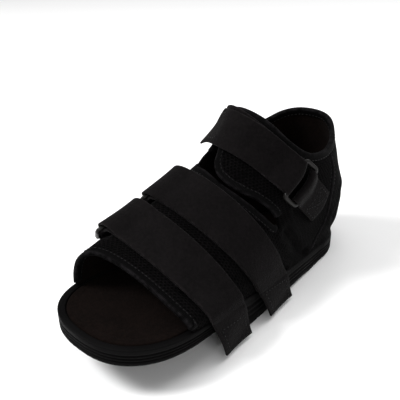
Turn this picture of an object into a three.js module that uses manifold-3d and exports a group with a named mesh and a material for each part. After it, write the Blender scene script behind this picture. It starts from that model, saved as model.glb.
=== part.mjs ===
// Post operative shoe for the left foot: a forefoot relief wedge with an open padded upper and three straps.
// Millimetres, +Z up, toe towards -Y, the outer side of the foot towards +X.
// The origin is on the floor, below the middle of the sole's length.
import * as THREE from "three";
import { mergeVertices } from "three/addons/utils/BufferGeometryUtils.js";
import Module from "manifold-3d";

const wasm = await Module();
wasm.setup();

// Outsole
const SOLE_LENGTH = 281;
const BALL_OUTER = 52; // centre line to the outer edge at the ball
const BALL_INNER = 56.3; // centre line to the inner edge at the ball
const BALL_RUN = 64; // from the toe tip back to the ball line
const TOE_SQUARENESS = 2.45;
const TOE_SKEW = 2; // the toe tip lies this far towards the inner side
const HEEL_DEPTH = 46; // length of the heel's round end
const HEEL_ROUNDNESS = 2.15;
const HEEL_TOP = 12.2; // rim height above the floor at the back
const TOE_TOP = 41.8; // rim height above the floor at the toe tip
const TOE_UNDERSIDE = 27.4; // clearance below the toe tip
const RISE = 21.2; // height of the step behind the forefoot
const RISE_RUN = 43.5;
const FLAT_FRONT = -14; // the flat tread ends here and the rise begins
const ARCH_RISE = 1.6;
const ARCH_FRONT = 14;
const ARCH_BACK = 76;
const ARCH_RUN = 16;
const GROOVE_INSET = 5.6; // rim width, from the sole's edge to the groove
const TREAD_ROUND = 1.6;
const RIM_ROUND = 1.2;
const RIB_COUNT = 3;
const RIB_DEPTH = 0.8;
const RIB_LOW = 0.3; // lowest and highest rib as shares of the side wall
const RIB_HIGH = 0.66;
const RIB_SHARE = 0.1; // one rib's height as a share of the side wall
const TREAD_DEPTH = 1.6;
const TREAD_WIDTH = 3.2;
const TREAD_PITCH = 15;

// Footbed and upper
const FOOTBED_THICK = 5;
const FOOTBED_ROUND = 1;
const FIT = 0.3; // gap between pieces that touch
const WALL = 3; // padded mesh of the upper
const UPPER_INSET = 1; // the upper's outer face at the rim, from the sole's edge
const TUCK_HEIGHT = 18; // the upper is drawn to the sole's outline below this height over the rim
const COLLAR_HEIGHT = 121; // heel tab above the floor
const ANKLE_OUTER = 34; // centre line to the outer face at the ankle
const ANKLE_INNER = 41;
const SLIT_WIDTH = 2; // gap between the two cuff wings
const CORD_RADIUS = 2.2; // bound edges
const PIPING_RADIUS = 1.5;

// Straps, rings and tabs
const STRAP_WIDTH = 35;
const ANKLE_STRAP_WIDTH = 30;
const STRAP_HALF = 2; // half thickness of the doubled strap
const TAB_HALF = 1;
const TAB_SHARE = 0.94; // width of a tab as a share of its strap's
const TAIL_END = 4; // free ends stop this far above the floor
const TAIL_FLARE = 0.14;
const LAYER_HALF = 1; // half thickness of one layer of the ankle strap
const LAYER_SINK = 0.1; // the sewn layers press into each other
const MIDDLE_STRAP_PLACE = 19.5; // the middle strap's centre line, carried on to the floor
const STRAP_GAP = 25.5; // between front and middle strap, along the shoe
const ANKLE_STRAP_PLACE = 142; // front edge of the ankle strap, in the same way
const FLAP_FRONT = 20; // the ankle strap's free end beyond the shin, at its front and rear corner
const FLAP_REAR = 6;
const FLAP_BEND = 40; // radius of its droop
const FLAP_SKEW = 0.13; // it lies this share of its width further forward than the strap below it
const FLAP_STEP = 0.016; // the turn in which the doubled strap gets its full thickness
const RIM_CLEAR = 1.6; // extra room where a strap passes the rim
const RING_STAND = 7.6; // a ring's middle above the upper
const RING_SPAN = 14; // between the middles of its long bars
const RING_SLACK = 0.6; // room at each edge of the strap
const BAR_WIDTH = 3.4;
const BAR_THICK = 3.4;
const LOOP_WALL = 1.8; // strap round a bar
const LOOP_HALF = BAR_THICK / 2 + FIT + LOOP_WALL;
const BINDING_PROUD = CORD_RADIUS - WALL / 2;

// How finely the curved pieces are divided
const SOLE_SIDES = 56;
const UPPER_ROWS = 24;
const UPPER_COLUMNS = 40;
const PATCH_ROWS = 3;
const SLOT_STEPS = 30;
const TOPLINE_STEPS = 20;
const CORD_SIDES = 6;
const TOE_CORD_STEPS = 21;
const SLOT_CORD_STEPS = 18;
const CUFF_CORD_STEPS = 7;
const COLLAR_CORD_STEPS = 30;
const PIPING_STEPS = 12;
const BAND_ROWS = 4;
const TAIL_STEPS = 3;
const TAB_STEPS = 11;
const FLAP_STEPS = 4;

const HALF_LENGTH = SOLE_LENGTH / 2;
const BALL_Y = BALL_RUN - HALF_LENGTH;
const HEEL_Y = HALF_LENGTH - HEEL_DEPTH;

const clamp01 = (v) => Math.min(1, Math.max(0, v));
const smooth = (v) => clamp01(v) ** 2 * (3 - 2 * clamp01(v));
const mix = (a, b, f) => a + (b - a) * f;

// Reads one named column of a table at a row number that need not be whole, along a smooth curve.
function column(table, key, row) {
  const last = table.length - 1;
  const i = Math.min(last - 1, Math.max(0, Math.floor(row)));
  const f = row - i;
  const p1 = table[i][key];
  const p2 = table[i + 1][key];
  const p0 = i > 0 ? table[i - 1][key] : 2 * p1 - p2;
  const p3 = i + 2 <= last ? table[i + 2][key] : 2 * p2 - p1;
  const m1 = (p2 - p0) / 2;
  const m2 = (p3 - p1) / 2;
  const f2 = f * f;
  const f3 = f2 * f;
  return (2 * f3 - 3 * f2 + 1) * p1 + (f3 - 2 * f2 + f) * m1 + (-2 * f3 + 3 * f2) * p2 + (f3 - f2) * m2;
}

// Height of the rim and of the tread above the floor at a place along the shoe.
const rimHeight = (y) => mix(HEEL_TOP, TOE_TOP, (HALF_LENGTH - y) / SOLE_LENGTH);

// The last. One row for each section plane, fanned from the toe, round the heel and up the ankle. `run` and
// `crownRun` place the plane's low and high end as shares of SOLE_LENGTH from the toe tip, `base` and `crown`
// are their heights above the rim as shares of COLLAR_HEIGHT. `outer` and `inner` are half widths as shares of
// the ball's, `ridge` is the crown's place as a share of BALL_INNER, `belly` the share of the height that is
// widest. The last three columns are the curves' squareness above and below it.
const LAST_ROWS = [
  { run: 0.1, base: -0.115, crownRun: 0.11, crown: 0.235, outer: 0.88, inner: 0.9, ridge: -0.66, belly: 0.42,
    crownOuter: 1.35, crownInner: 2.4, low: 4 },
  { run: 0.2, base: -0.115, crownRun: 0.2, crown: 0.295, outer: 0.945, inner: 0.95, ridge: -0.66, belly: 0.38,
    crownOuter: 1.32, crownInner: 2.4, low: 4 },
  { run: 0.305, base: -0.115, crownRun: 0.3, crown: 0.385, outer: 0.94, inner: 0.94, ridge: -0.56, belly: 0.34,
    crownOuter: 1.32, crownInner: 2.4, low: 4 },
  { run: 0.41, base: -0.115, crownRun: 0.392, crown: 0.495, outer: 0.915, inner: 0.9, ridge: -0.44, belly: 0.32,
    crownOuter: 1.42, crownInner: 2.4, low: 4 },
  { run: 0.52, base: -0.115, crownRun: 0.475, crown: 0.605, outer: 0.885, inner: 0.86, ridge: -0.33, belly: 0.31,
    crownOuter: 1.58, crownInner: 2.4, low: 4 },
  { run: 0.625, base: -0.115, crownRun: 0.53, crown: 0.7, outer: 0.845, inner: 0.83, ridge: -0.25, belly: 0.32,
    crownOuter: 1.7, crownInner: 2.4, low: 3.8 },
  { run: 0.74, base: -0.115, crownRun: 0.56, crown: 0.785, outer: 0.8, inner: 0.81, ridge: -0.2, belly: 0.34,
    crownOuter: 1.9, crownInner: 2.3, low: 3.4 },
  { run: 0.856, base: -0.115, crownRun: 0.583, crown: 0.865, outer: 0.775, inner: 0.79, ridge: -0.16, belly: 0.35,
    crownOuter: 2, crownInner: 2.2, low: 3 },
  { run: 0.95, base: -0.05, crownRun: 0.602, crown: 0.935, outer: 0.785, inner: 0.785, ridge: -0.14, belly: 0.36,
    crownOuter: 2, crownInner: 2.1, low: 2.6 },
  { run: 1, base: 0.13, crownRun: 0.617, crown: 0.995, outer: 0.785, inner: 0.79, ridge: -0.13, belly: 0.38,
    crownOuter: 2, crownInner: 2.1, low: 2.4 },
  { run: 1.02, base: 0.3, crownRun: 0.629, crown: 1.05, outer: 0.765, inner: 0.775, ridge: -0.12, belly: 0.42,
    crownOuter: 2, crownInner: 2, low: 2.25 },
  { run: 1.012, base: 0.52, crownRun: 0.638, crown: 1.1, outer: 0.7, inner: 0.75, ridge: -0.12, belly: 0.48,
    crownOuter: 2, crownInner: 2, low: 2.1 },
  { run: 0.99, base: 0.75, crownRun: 0.648, crown: 1.13, outer: 0.67, inner: 0.735, ridge: -0.12, belly: 0.5,
    crownOuter: 2, crownInner: 2, low: 2 },
  { run: 0.977, base: 0.94, crownRun: 0.652, crown: 1.19, outer: 0.655, inner: 0.73, ridge: -0.12, belly: 0.5,
    crownOuter: 2, crownInner: 2, low: 2 },
];
const LAST_END = LAST_ROWS.length - 1;

// A point on the last's surface. `turn` goes once round a section: 0 on the crown, 0.25 on the outer side,
// 0.5 underneath or at the back of the heel, 0.75 on the inner side.
function lastPoint(row, turn) {
  const at = (key) => column(LAST_ROWS, key, row);
  const lowY = at("run") * SOLE_LENGTH - HALF_LENGTH;
  const highY = at("crownRun") * SOLE_LENGTH - HALF_LENGTH;
  const lowZ = rimHeight(lowY) + at("base") * COLLAR_HEIGHT;
  const highZ = rimHeight(highY) + at("crown") * COLLAR_HEIGHT;
  const outer = at("outer") * BALL_OUTER;
  const inner = at("inner") * BALL_INNER;
  const angle = turn * Math.PI * 2;
  const side = Math.sin(angle);
  const up = Math.cos(angle);
  const above = up >= 0;
  const square = above ? (side >= 0 ? at("crownOuter") : at("crownInner")) : at("low");
  const centre = above ? at("ridge") * BALL_INNER : 0;
  const across = Math.abs(side) ** (2 / square);
  const x = side >= 0 ? centre + (outer - centre) * across : centre - (inner + centre) * across;
  const belly = at("belly");
  const lift = Math.abs(up) ** (2 / square);
  const share = above ? belly + (1 - belly) * lift : belly - belly * lift;
  return tucked(new THREE.Vector3(x, mix(lowY, highY, share), mix(lowZ, highZ, share)));
}

// Draws the low part of the last out or in to the sole's outline.
function tucked(p) {
  const near = 1 - smooth((p.z - rimHeight(p.y)) / TUCK_HEIGHT);
  if (near === 0) return p;
  const gauge = soleGauge(p.x, p.y, UPPER_INSET);
  const grow = mix(1, 1 / gauge, near * smooth((gauge - 0.55) / 0.3));
  p.x *= grow;
  if (p.y > HEEL_Y) p.y = HEEL_Y + (p.y - HEEL_Y) * grow;
  return p;
}

// The same point moved out along the surface's normal.
function skin(row, turn, out) {
  const step = 0.02;
  const p = lastPoint(row, turn);
  const along = lastPoint(row + step, turn).sub(lastPoint(row - step, turn));
  const round = lastPoint(row, turn + step / 2).sub(lastPoint(row, turn - step / 2));
  return p.addScaledVector(along.cross(round).normalize(), -out);
}

// Reads a table with a named position column that need not be evenly spaced, along a smooth curve.
function tableAt(table, place, key, value) {
  let i = 0;
  while (i < table.length - 2 && value > table[i + 1][place]) i += 1;
  const a = table[i];
  const b = table[i + 1];
  const span = b[place] - a[place];
  const slope = (p, q) => (q[key] - p[key]) / (q[place] - p[place]);
  const here = slope(a, b);
  const before = i > 0 ? (slope(table[i - 1], a) + here) / 2 : here;
  const after = i + 2 < table.length ? (slope(b, table[i + 2]) + here) / 2 : here;
  const f = clamp01((value - a[place]) / span);
  const f2 = f * f;
  const f3 = f2 * f;
  return (2 * f3 - 3 * f2 + 1) * a[key] + (f3 - 2 * f2 + f) * before * span
    + (3 * f2 - 2 * f3) * b[key] + (f3 - f2) * after * span;
}

// Finds where a rising or falling function passes zero between two values.
function zeroOf(f, from, to) {
  let a = from;
  let b = to;
  const sign = Math.sign(f(a)) || 1;
  for (let i = 0; i < 22; i += 1) {
    const m = (a + b) / 2;
    if (Math.sign(f(m)) === sign) a = m;
    else b = m;
  }
  return (a + b) / 2;
}

const range = (count) => Array.from({ length: count }, (_, i) => i);
const spread = (count) => range(count).map((i) => i / (count - 1));

// Front edge of the upper round the toe opening: the last's row at each turn.
const TOE_EDGE = [
  { turn: -0.5, row: 0.3 },
  { turn: -0.3, row: 0.3 },
  { turn: -0.2, row: 0.3 },
  { turn: -0.12, row: 0.36 },
  { turn: -0.06, row: 0.48 },
  { turn: 0, row: 0.62 },
  { turn: 0.05, row: 0.8 },
  { turn: 0.1, row: 0.92 },
  { turn: 0.16, row: 1 },
  { turn: 0.25, row: 1.08 },
  { turn: 0.33, row: 1.1 },
  { turn: 0.5, row: 1.1 },
];

// The instep slot and the throat between the cuff wings: its front and rear edge as rows of the last.
const SLOT = [
  { turn: -0.098, front: 5.2, rear: 5.5 },
  { turn: -0.09, front: 4.85, rear: 6.5 },
  { turn: -0.072, front: 4.7, rear: 7.1 },
  { turn: -0.045, front: 4.62, rear: 7.3 },
  { turn: -0.022, front: 4.55, rear: 7 },
  { turn: -0.005, front: 4.52, rear: 6.2 },
  { turn: 0.007, front: 4.5, rear: 5.45 },
  { turn: 0.028, front: 4.45, rear: 4.95 },
  { turn: 0.063, front: 4.43, rear: 4.78 },
  { turn: 0.097, front: 4.58, rear: 4.98 },
  { turn: 0.125, front: 4.75, rear: 5.3 },
  { turn: 0.153, front: 4.93, rear: 5.56 },
  { turn: 0.174, front: 5.08, rear: 5.66 },
  { turn: 0.186, front: 5.2, rear: 5.56 },
  { turn: 0.191, front: 5.32, rear: 5.42 },
];
const SLIT_TURN = -0.045;
const SLIT_ROW = 7;
const CUFF_CORD_GAP = 0.012;
const CUFF_OUTER_END = -0.022;
const CUFF_INNER_END = -0.068;
const COLLAR_CORD_START = 0.02;
const COLLAR_SEARCH = 7.5;

// Topline in side view: heights as shares of COLLAR_HEIGHT, along the shoe as shares of SOLE_LENGTH.
const TOPLINE = [
  { run: 0.5, height: 1.4 },
  { run: 0.6, height: 1.3 },
  { run: 0.64, height: 1.2 },
  { run: 0.69, height: 1.04 },
  { run: 0.75, height: 0.92 },
  { run: 0.82, height: 0.89 },
  { run: 0.89, height: 0.91 },
  { run: 0.94, height: 0.97 },
  { run: 0.975, height: 1 },
  { run: 1.1, height: 1 },
];

// The raised seam on the heel counter, from the topline down and forward to the rim.
const PIPING = [
  { row: 6.5, turn: 0.312 },
  { row: 7.2, turn: 0.284 },
  { row: 8, turn: 0.264 },
  { row: 9, turn: 0.253 },
  { row: 10.2, turn: 0.256 },
  { row: 10.6, turn: 0.258 },
];

const SLANT = {
  front: new THREE.Vector3(0, 1, 0.22),
  middle: new THREE.Vector3(0, 1, 0.4),
  ankle: new THREE.Vector3(0.27, 1.1, 1),
};
const FRONT_STRAP_PLACE = MIDDLE_STRAP_PLACE - STRAP_WIDTH - STRAP_GAP;
const BANDS = {
  front: { normal: SLANT.front.clone().normalize(), middle: FRONT_STRAP_PLACE / SLANT.front.length(),
    width: STRAP_WIDTH, lie: FIT, start: 0.3, bar: -0.082, sewn: -0.225, steps: 22,
    tail: true, lean: 0, taper: 0.12 },
  middle: { normal: SLANT.middle.clone().normalize(), middle: MIDDLE_STRAP_PLACE / SLANT.middle.length(),
    width: STRAP_WIDTH, lie: FIT, start: 0.3, bar: -0.082, sewn: -0.225, steps: 22,
    tail: true, lean: 0.09, taper: 0.18 },
  ankle: { normal: SLANT.ankle.clone().normalize(),
    middle: ANKLE_STRAP_PLACE / SLANT.ankle.length() + ANKLE_STRAP_WIDTH / 2,
    width: ANKLE_STRAP_WIDTH, lie: BINDING_PROUD + FIT, start: -0.235, flap: -0.05, bar: 0.152,
    sewn: 0.24, steps: 26, tail: false },
};

// Half width of the sole at a place along the shoe, shares of the ball's half widths from ball to heel.
const WAIST_ROWS = [
  { outer: 1, inner: 1 },
  { outer: 0.966, inner: 0.93 },
  { outer: 0.917, inner: 0.79 },
  { outer: 0.856, inner: 0.71 },
  { outer: 0.766, inner: 0.705 },
];

function soleHalf(y, side) {
  const row = clamp01((y - BALL_Y) / (HEEL_Y - BALL_Y)) * (WAIST_ROWS.length - 1);
  if (side >= 0) return column(WAIST_ROWS, "outer", row) * BALL_OUTER;
  return column(WAIST_ROWS, "inner", row) * BALL_INNER;
}

// How far out a place lies against the sole's outline drawn in by an inset: 1 on the line, under 1 inside it.
function soleGauge(x, y, inset) {
  const toe = Math.max(0, (BALL_Y - y) / (BALL_RUN - inset));
  const heel = Math.max(0, (y - HEEL_Y) / (HEEL_DEPTH - inset));
  const across = Math.abs(x + TOE_SKEW * toe * toe) / (soleHalf(y, x) - inset);
  if (toe > 0) return (across ** TOE_SQUARENESS + toe ** TOE_SQUARENESS) ** (1 / TOE_SQUARENESS);
  return (across ** HEEL_ROUNDNESS + heel ** HEEL_ROUNDNESS) ** (1 / HEEL_ROUNDNESS);
}

// The sole's outline drawn in by an inset, from the heel's tip round the outer side to the toe and back.
function solePoint(turn, inset) {
  const angle = turn * Math.PI * 2;
  const y = Math.cos(angle) * (HALF_LENGTH - inset);
  const side = Math.sin(angle) >= 0 ? 1 : -1;
  const toe = clamp01((BALL_Y - y) / (BALL_RUN - inset));
  const heel = clamp01((y - HEEL_Y) / (HEEL_DEPTH - inset));
  const toeShare = (1 - toe ** TOE_SQUARENESS) ** (1 / TOE_SQUARENESS);
  const heelShare = (1 - heel ** HEEL_ROUNDNESS) ** (1 / HEEL_ROUNDNESS);
  return [side * (soleHalf(y, side) - inset) * toeShare * heelShare - TOE_SKEW * toe * toe, y];
}

// Height of the tread: flat under heel and midfoot but for the arch, then the step up to the toe plate.
function treadHeight(y) {
  const arch = ARCH_RISE * smooth((y - ARCH_FRONT) / ARCH_RUN) * smooth((ARCH_BACK - y) / ARCH_RUN);
  const step = RISE * smooth((FLAT_FRONT - y) / RISE_RUN);
  const plate = clamp01((FLAT_FRONT - RISE_RUN - y) / (FLAT_FRONT - RISE_RUN + HALF_LENGTH));
  return arch + step + (TOE_UNDERSIDE - RISE) * plate;
}

// Closed solid through closed rings of equal count. The two end rings are closed across, side to side.
function ringSolid(rings) {
  const count = rings[0].length;
  const index = [];
  for (let i = 0; i + 1 < rings.length; i += 1) {
    for (let j = 0; j < count; j += 1) {
      const a = i * count + j;
      const b = i * count + ((j + 1) % count);
      index.push(a, b, a + count, b, b + count, a + count);
    }
  }
  for (const [start, turned] of [[0, true], [(rings.length - 1) * count, false]]) {
    for (let j = 0; j < count / 2; j += 1) {
      const a = start + j;
      const b = start + j + 1;
      const c = start + ((count - j) % count);
      const d = start + count - j - 1;
      const faces = [[a, b, c], [b, d, c]];
      for (const face of faces) {
        if (new Set(face).size === 3) index.push(...(turned ? face.reverse() : face));
      }
    }
  }
  return solid(rings.flat(), index);
}

// Closed solid between two equal grids of points, the first outside. `round` joins the grid's ends across.
function sheetSolid(outside, inside, round) {
  const rows = outside.length;
  const count = outside[0].length;
  const half = rows * count;
  const index = [];
  const quad = (a, b, c, d) => index.push(a, b, c, a, c, d);
  const spans = round ? count : count - 1;
  for (let i = 0; i + 1 < rows; i += 1) {
    for (let j = 0; j < spans; j += 1) {
      const k = (j + 1) % count;
      quad(i * count + j, (i + 1) * count + j, (i + 1) * count + k, i * count + k);
      quad(half + i * count + j, half + i * count + k, half + (i + 1) * count + k, half + (i + 1) * count + j);
    }
  }
  for (let j = 0; j < spans; j += 1) {
    const k = (j + 1) % count;
    const end = (rows - 1) * count;
    quad(j, k, half + k, half + j);
    quad(end + k, end + j, half + end + j, half + end + k);
  }
  if (!round) {
    for (let i = 0; i + 1 < rows; i += 1) {
      const a = i * count;
      const b = a + count;
      quad(b, a, half + a, half + b);
      quad(a + count - 1, b + count - 1, half + b + count - 1, half + a + count - 1);
    }
  }
  return solid([...outside.flat(), ...inside.flat()], index);
}

// A manifold solid from points and triangles, turned outwards if need be.
function solid(points, index) {
  const geometry = new THREE.BufferGeometry().setFromPoints(points);
  geometry.setIndex(index);
  return solidFromGeometry(geometry);
}

function solidFromGeometry(geometry) {
  const bare = geometry.clone();
  bare.deleteAttribute("normal");
  bare.deleteAttribute("uv");
  const merged = mergeVertices(bare, 1e-4);
  const vertProperties = new Float32Array(merged.attributes.position.array);
  const triVerts = new Uint32Array(merged.index.array);
  const made = new wasm.Manifold(new wasm.Mesh({ numProp: 3, vertProperties, triVerts }));
  if (made.volume() > 0) return made;
  for (let i = 0; i < triVerts.length; i += 3) {
    [triVerts[i + 1], triVerts[i + 2]] = [triVerts[i + 2], triVerts[i + 1]];
  }
  return new wasm.Manifold(new wasm.Mesh({ numProp: 3, vertProperties, triVerts }));
}

// A round cord of a given radius along points, closed on itself where `round` is set.
function cordSolid(points, radius, round) {
  const rings = [];
  const count = points.length;
  let up = new THREE.Vector3(0.1, 0.2, 1);
  for (let i = 0; i < count; i += 1) {
    const before = points[round ? (i + count - 1) % count : Math.max(0, i - 1)];
    const after = points[round ? (i + 1) % count : Math.min(count - 1, i + 1)];
    const along = after.clone().sub(before).normalize();
    up = up.clone().addScaledVector(along, -up.dot(along)).normalize();
    const across = along.clone().cross(up);
    const ring = [];
    for (let j = 0; j < CORD_SIDES; j += 1) {
      const angle = (j / CORD_SIDES) * Math.PI * 2;
      ring.push(points[i].clone()
        .addScaledVector(up, Math.cos(angle) * radius)
        .addScaledVector(across, Math.sin(angle) * radius));
    }
    rings.push(ring);
  }
  if (!round) return ringSolid(rings);
  const index = [];
  for (let i = 0; i < count; i += 1) {
    for (let j = 0; j < CORD_SIDES; j += 1) {
      const a = i * CORD_SIDES + j;
      const b = i * CORD_SIDES + ((j + 1) % CORD_SIDES);
      const c = ((i + 1) % count) * CORD_SIDES + j;
      const d = ((i + 1) % count) * CORD_SIDES + ((j + 1) % CORD_SIDES);
      index.push(a, c, b, b, c, d);
    }
  }
  return solid(rings.flat(), index);
}

// Outsole: rings from the tread's edge up the ribbed wall, over the rim and down into the footbed's recess.
function outsoleSolid() {
  const wall = [{ up: 0, inset: TREAD_ROUND, over: 0 }, { up: 0, inset: 0, over: TREAD_ROUND }];
  for (const i of range(RIB_COUNT)) {
    const middle = mix(RIB_LOW, RIB_HIGH, i / (RIB_COUNT - 1));
    for (const [shift, inset] of [[-0.5, 0], [-0.3, RIB_DEPTH], [0.3, RIB_DEPTH], [0.5, 0]]) {
      wall.push({ up: middle + shift * RIB_SHARE, inset, over: 0 });
    }
  }
  wall.push({ up: 1, inset: 0, over: -RIM_ROUND }, { up: 1, inset: RIM_ROUND, over: 0 });
  wall.push({ up: 1, inset: GROOVE_INSET, over: 0 }, { up: 1, inset: GROOVE_INSET, over: -FOOTBED_THICK });
  const rings = wall.map((level) => range(SOLE_SIDES).map((i) => {
    const [x, y] = solePoint(i / SOLE_SIDES, level.inset);
    return new THREE.Vector3(x, y, mix(treadHeight(y), rimHeight(y), level.up) + level.over);
  }));
  let sole = ringSolid(rings);
  for (let y = FLAT_FRONT + TREAD_PITCH / 2; y < HALF_LENGTH - TREAD_PITCH; y += TREAD_PITCH) {
    const bar = new THREE.BoxGeometry(SOLE_LENGTH, TREAD_WIDTH, TREAD_DEPTH * 2).translate(0, y, 0);
    sole = sole.subtract(solidFromGeometry(bar));
  }
  return sole;
}

// Footbed: lies in the recess, level with the rim, its edge a fit away from the groove.
function footbedSolid() {
  const layers = [
    { inset: 0, up: FIT - FOOTBED_THICK },
    { inset: 0, up: -FOOTBED_ROUND },
    { inset: FOOTBED_ROUND, up: 0 },
  ];
  return ringSolid(layers.map((layer) => range(SOLE_SIDES).map((i) => {
    const [x, y] = solePoint(i / SOLE_SIDES, GROOVE_INSET + FIT + layer.inset);
    return new THREE.Vector3(x, y, rimHeight(y) + layer.up);
  })));
}

const toeRow = (turn) => tableAt(TOE_EDGE, "turn", "row", turn > 0.5 ? turn - 1 : turn);

// Topline of the collar in side view.
function collarHeight(y) {
  return COLLAR_HEIGHT * tableAt(TOPLINE, "run", "height", (y + HALF_LENGTH) / SOLE_LENGTH);
}

// The last's row where the topline crosses it at one turn round the ankle.
const toplineRow = (turn) => zeroOf((row) => {
  const p = lastPoint(row, turn);
  return p.z - collarHeight(p.y);
}, COLLAR_SEARCH, LAST_END);

// A slab through the upper's wall over a patch of the last, to cut with.
function patchCutter(turns, rowsAt) {
  const side = (out) => spread(PATCH_ROWS).map((f) => turns.map((turn) => {
    const [low, high] = rowsAt(turn);
    return skin(mix(low, high, f), turn, out);
  }));
  return sheetSolid(side(WALL), side(-2 * WALL), false);
}

// A block that spans the shoe from side to side over an outline given in side view.
function sideCutter(outline) {
  const shape = new THREE.Shape(outline.map(([y, z]) => new THREE.Vector2(y, z)));
  const block = new THREE.ExtrudeGeometry(shape, { depth: SOLE_LENGTH, bevelEnabled: false });
  const toSide = new THREE.Matrix4().makeBasis(
    new THREE.Vector3(0, 1, 0), new THREE.Vector3(0, 0, 1), new THREE.Vector3(1, 0, 0));
  return solidFromGeometry(block.translate(0, 0, -SOLE_LENGTH / 2).applyMatrix4(toSide));
}

function upperSolid() {
  const shell = (out) => spread(UPPER_ROWS).map((f) => range(UPPER_COLUMNS).map((j) => {
    const turn = j / UPPER_COLUMNS;
    return skin(mix(toeRow(turn), LAST_END, f), turn, out);
  }));
  const sheet = sheetSolid(shell(0), shell(-WALL), true);
  const low = -SOLE_LENGTH;
  const under = sideCutter([
    [low, low], [SOLE_LENGTH, low],
    [SOLE_LENGTH, rimHeight(SOLE_LENGTH) + FIT], [low, rimHeight(low) + FIT]]);
  const crown = TOPLINE.map((row) => row.run * SOLE_LENGTH - HALF_LENGTH);
  const line = spread(TOPLINE_STEPS).map((f) => mix(crown[0], crown.at(-1), f));
  const over = sideCutter([
    ...line.map((y) => [y, collarHeight(y)]),
    [crown.at(-1), SOLE_LENGTH], [crown[0], SOLE_LENGTH]]);
  const slot = patchCutter(spread(SLOT_STEPS).map((f) => mix(SLOT[0].turn, SLOT.at(-1).turn, f)),
    (turn) => [tableAt(SLOT, "turn", "front", turn), tableAt(SLOT, "turn", "rear", turn)]);
  const half = SLIT_WIDTH / 2 / (Math.PI * (ANKLE_OUTER + ANKLE_INNER));
  const slit = patchCutter([SLIT_TURN - half, SLIT_TURN + half], () => [SLIT_ROW, LAST_END + 0.2]);
  return sheet.subtract(under).subtract(over).subtract(slot).subtract(slit);
}

// Cords that bind the edges, on the middle of the wall.
const edgeCord = (places) => places.map(([row, turn]) => skin(row, turn, -WALL / 2));
const slotPlaces = (key, from, to, count) => spread(count).map((f) => {
  const turn = mix(from, to, f);
  return [tableAt(SLOT, "turn", key, turn), turn];
});

function bindingCords() {
  const onRim = (turn) => {
    const p = skin(toeRow(turn), turn, -WALL / 2);
    return p.z - rimHeight(p.y) - CORD_RADIUS - 2 * FIT;
  };
  const toeEnds = [zeroOf(onRim, -0.1, -0.4), zeroOf(onRim, 0.1, 0.4)];
  const toe = spread(TOE_CORD_STEPS).map((f) => {
    const turn = mix(toeEnds[0], toeEnds[1], f);
    return [toeRow(turn), turn];
  });
  const collar = spread(COLLAR_CORD_STEPS).map((f) => {
    const turn = mix(SLIT_TURN + COLLAR_CORD_START, 1 + SLIT_TURN - COLLAR_CORD_START, f);
    return [toplineRow(turn), turn];
  });
  const ends = [SLOT[0].turn, SLOT.at(-1).turn];
  return {
    toe_binding: edgeCord(toe),
    vamp_binding: edgeCord(slotPlaces("front", ends[0], ends[1], SLOT_CORD_STEPS)),
    cuff_binding_outer: edgeCord(
      slotPlaces("rear", ends[1] - CUFF_CORD_GAP, CUFF_OUTER_END, SLOT_CORD_STEPS)),
    cuff_binding_inner: edgeCord(
      slotPlaces("rear", ends[0] + CUFF_CORD_GAP / 2, CUFF_INNER_END, CUFF_CORD_STEPS)),
    collar_binding: edgeCord(collar),
  };
}

function pipingCord(side) {
  return spread(PIPING_STEPS).map((f) => {
    const row = mix(PIPING[0].row, PIPING.at(-1).row, f);
    return skin(row, side * tableAt(PIPING, "row", "turn", row), 0);
  });
}

// Straps. Each lies in a slanted slab of the shoe: `normal` is the slab's facing and `middle` its distance.
function bandRow(band, share, turn, out) {
  const distance = band.middle + share * band.width;
  return zeroOf((row) => band.normal.dot(skin(row, turn, out)) - distance, 0, LAST_END);
}
const bandPoint = (band, share, turn, out) => skin(bandRow(band, share, turn, out), turn, out);

// Millimetres that one whole turn measures at a place on the band.
function bandGirth(band, turn) {
  const step = 0.01;
  const a = bandPoint(band, 0, turn - step, RING_STAND);
  const b = bandPoint(band, 0, turn + step, RING_STAND);
  return a.distanceTo(b) / (2 * step);
}

// The stations of a band's loop over a ring's bar, and how thick it is there.
const loopStations = (turn, reach, half, girth) => [
  { turn: turn - reach * 8 / girth, half },
  { turn: turn - reach * (BAR_WIDTH / 2 + LOOP_WALL) / girth, half: half + 0.4 * (LOOP_HALF - half) },
  { turn: turn - reach * (BAR_WIDTH / 2) / girth, half: LOOP_HALF },
  { turn: turn + reach * (BAR_WIDTH / 2) / girth, half: LOOP_HALF },
  { turn: turn + reach * (BAR_WIDTH / 2 + LOOP_WALL) / girth, half: half + 0.2 * (LOOP_HALF - half) },
];

// A sheet from centre points and half thicknesses: rows across the width, columns along the band.
function thickSheet(grid, halves) {
  const rows = grid.length;
  const count = grid[0].length;
  const faces = [[], []];
  for (let i = 0; i < rows; i += 1) {
    faces[0].push([]);
    faces[1].push([]);
    for (let j = 0; j < count; j += 1) {
      const across = grid[Math.min(rows - 1, i + 1)][j].clone().sub(grid[Math.max(0, i - 1)][j]);
      const along = grid[i][Math.min(count - 1, j + 1)].clone().sub(grid[i][Math.max(0, j - 1)]);
      const normal = across.cross(along).normalize();
      faces[0][i].push(grid[i][j].clone().addScaledVector(normal, halves[j]));
      faces[1][i].push(grid[i][j].clone().addScaledVector(normal, -halves[j]));
    }
  }
  return sheetSolid(faces[0], faces[1], false);
}

// Half the band's thickness: one layer where the ankle strap is sewn, two where it is doubled back.
const bandHalf = (band, turn) =>
  mix(LAYER_HALF, STRAP_HALF, band.tail ? 1 : smooth((turn - band.flap) / FLAP_STEP));

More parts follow.
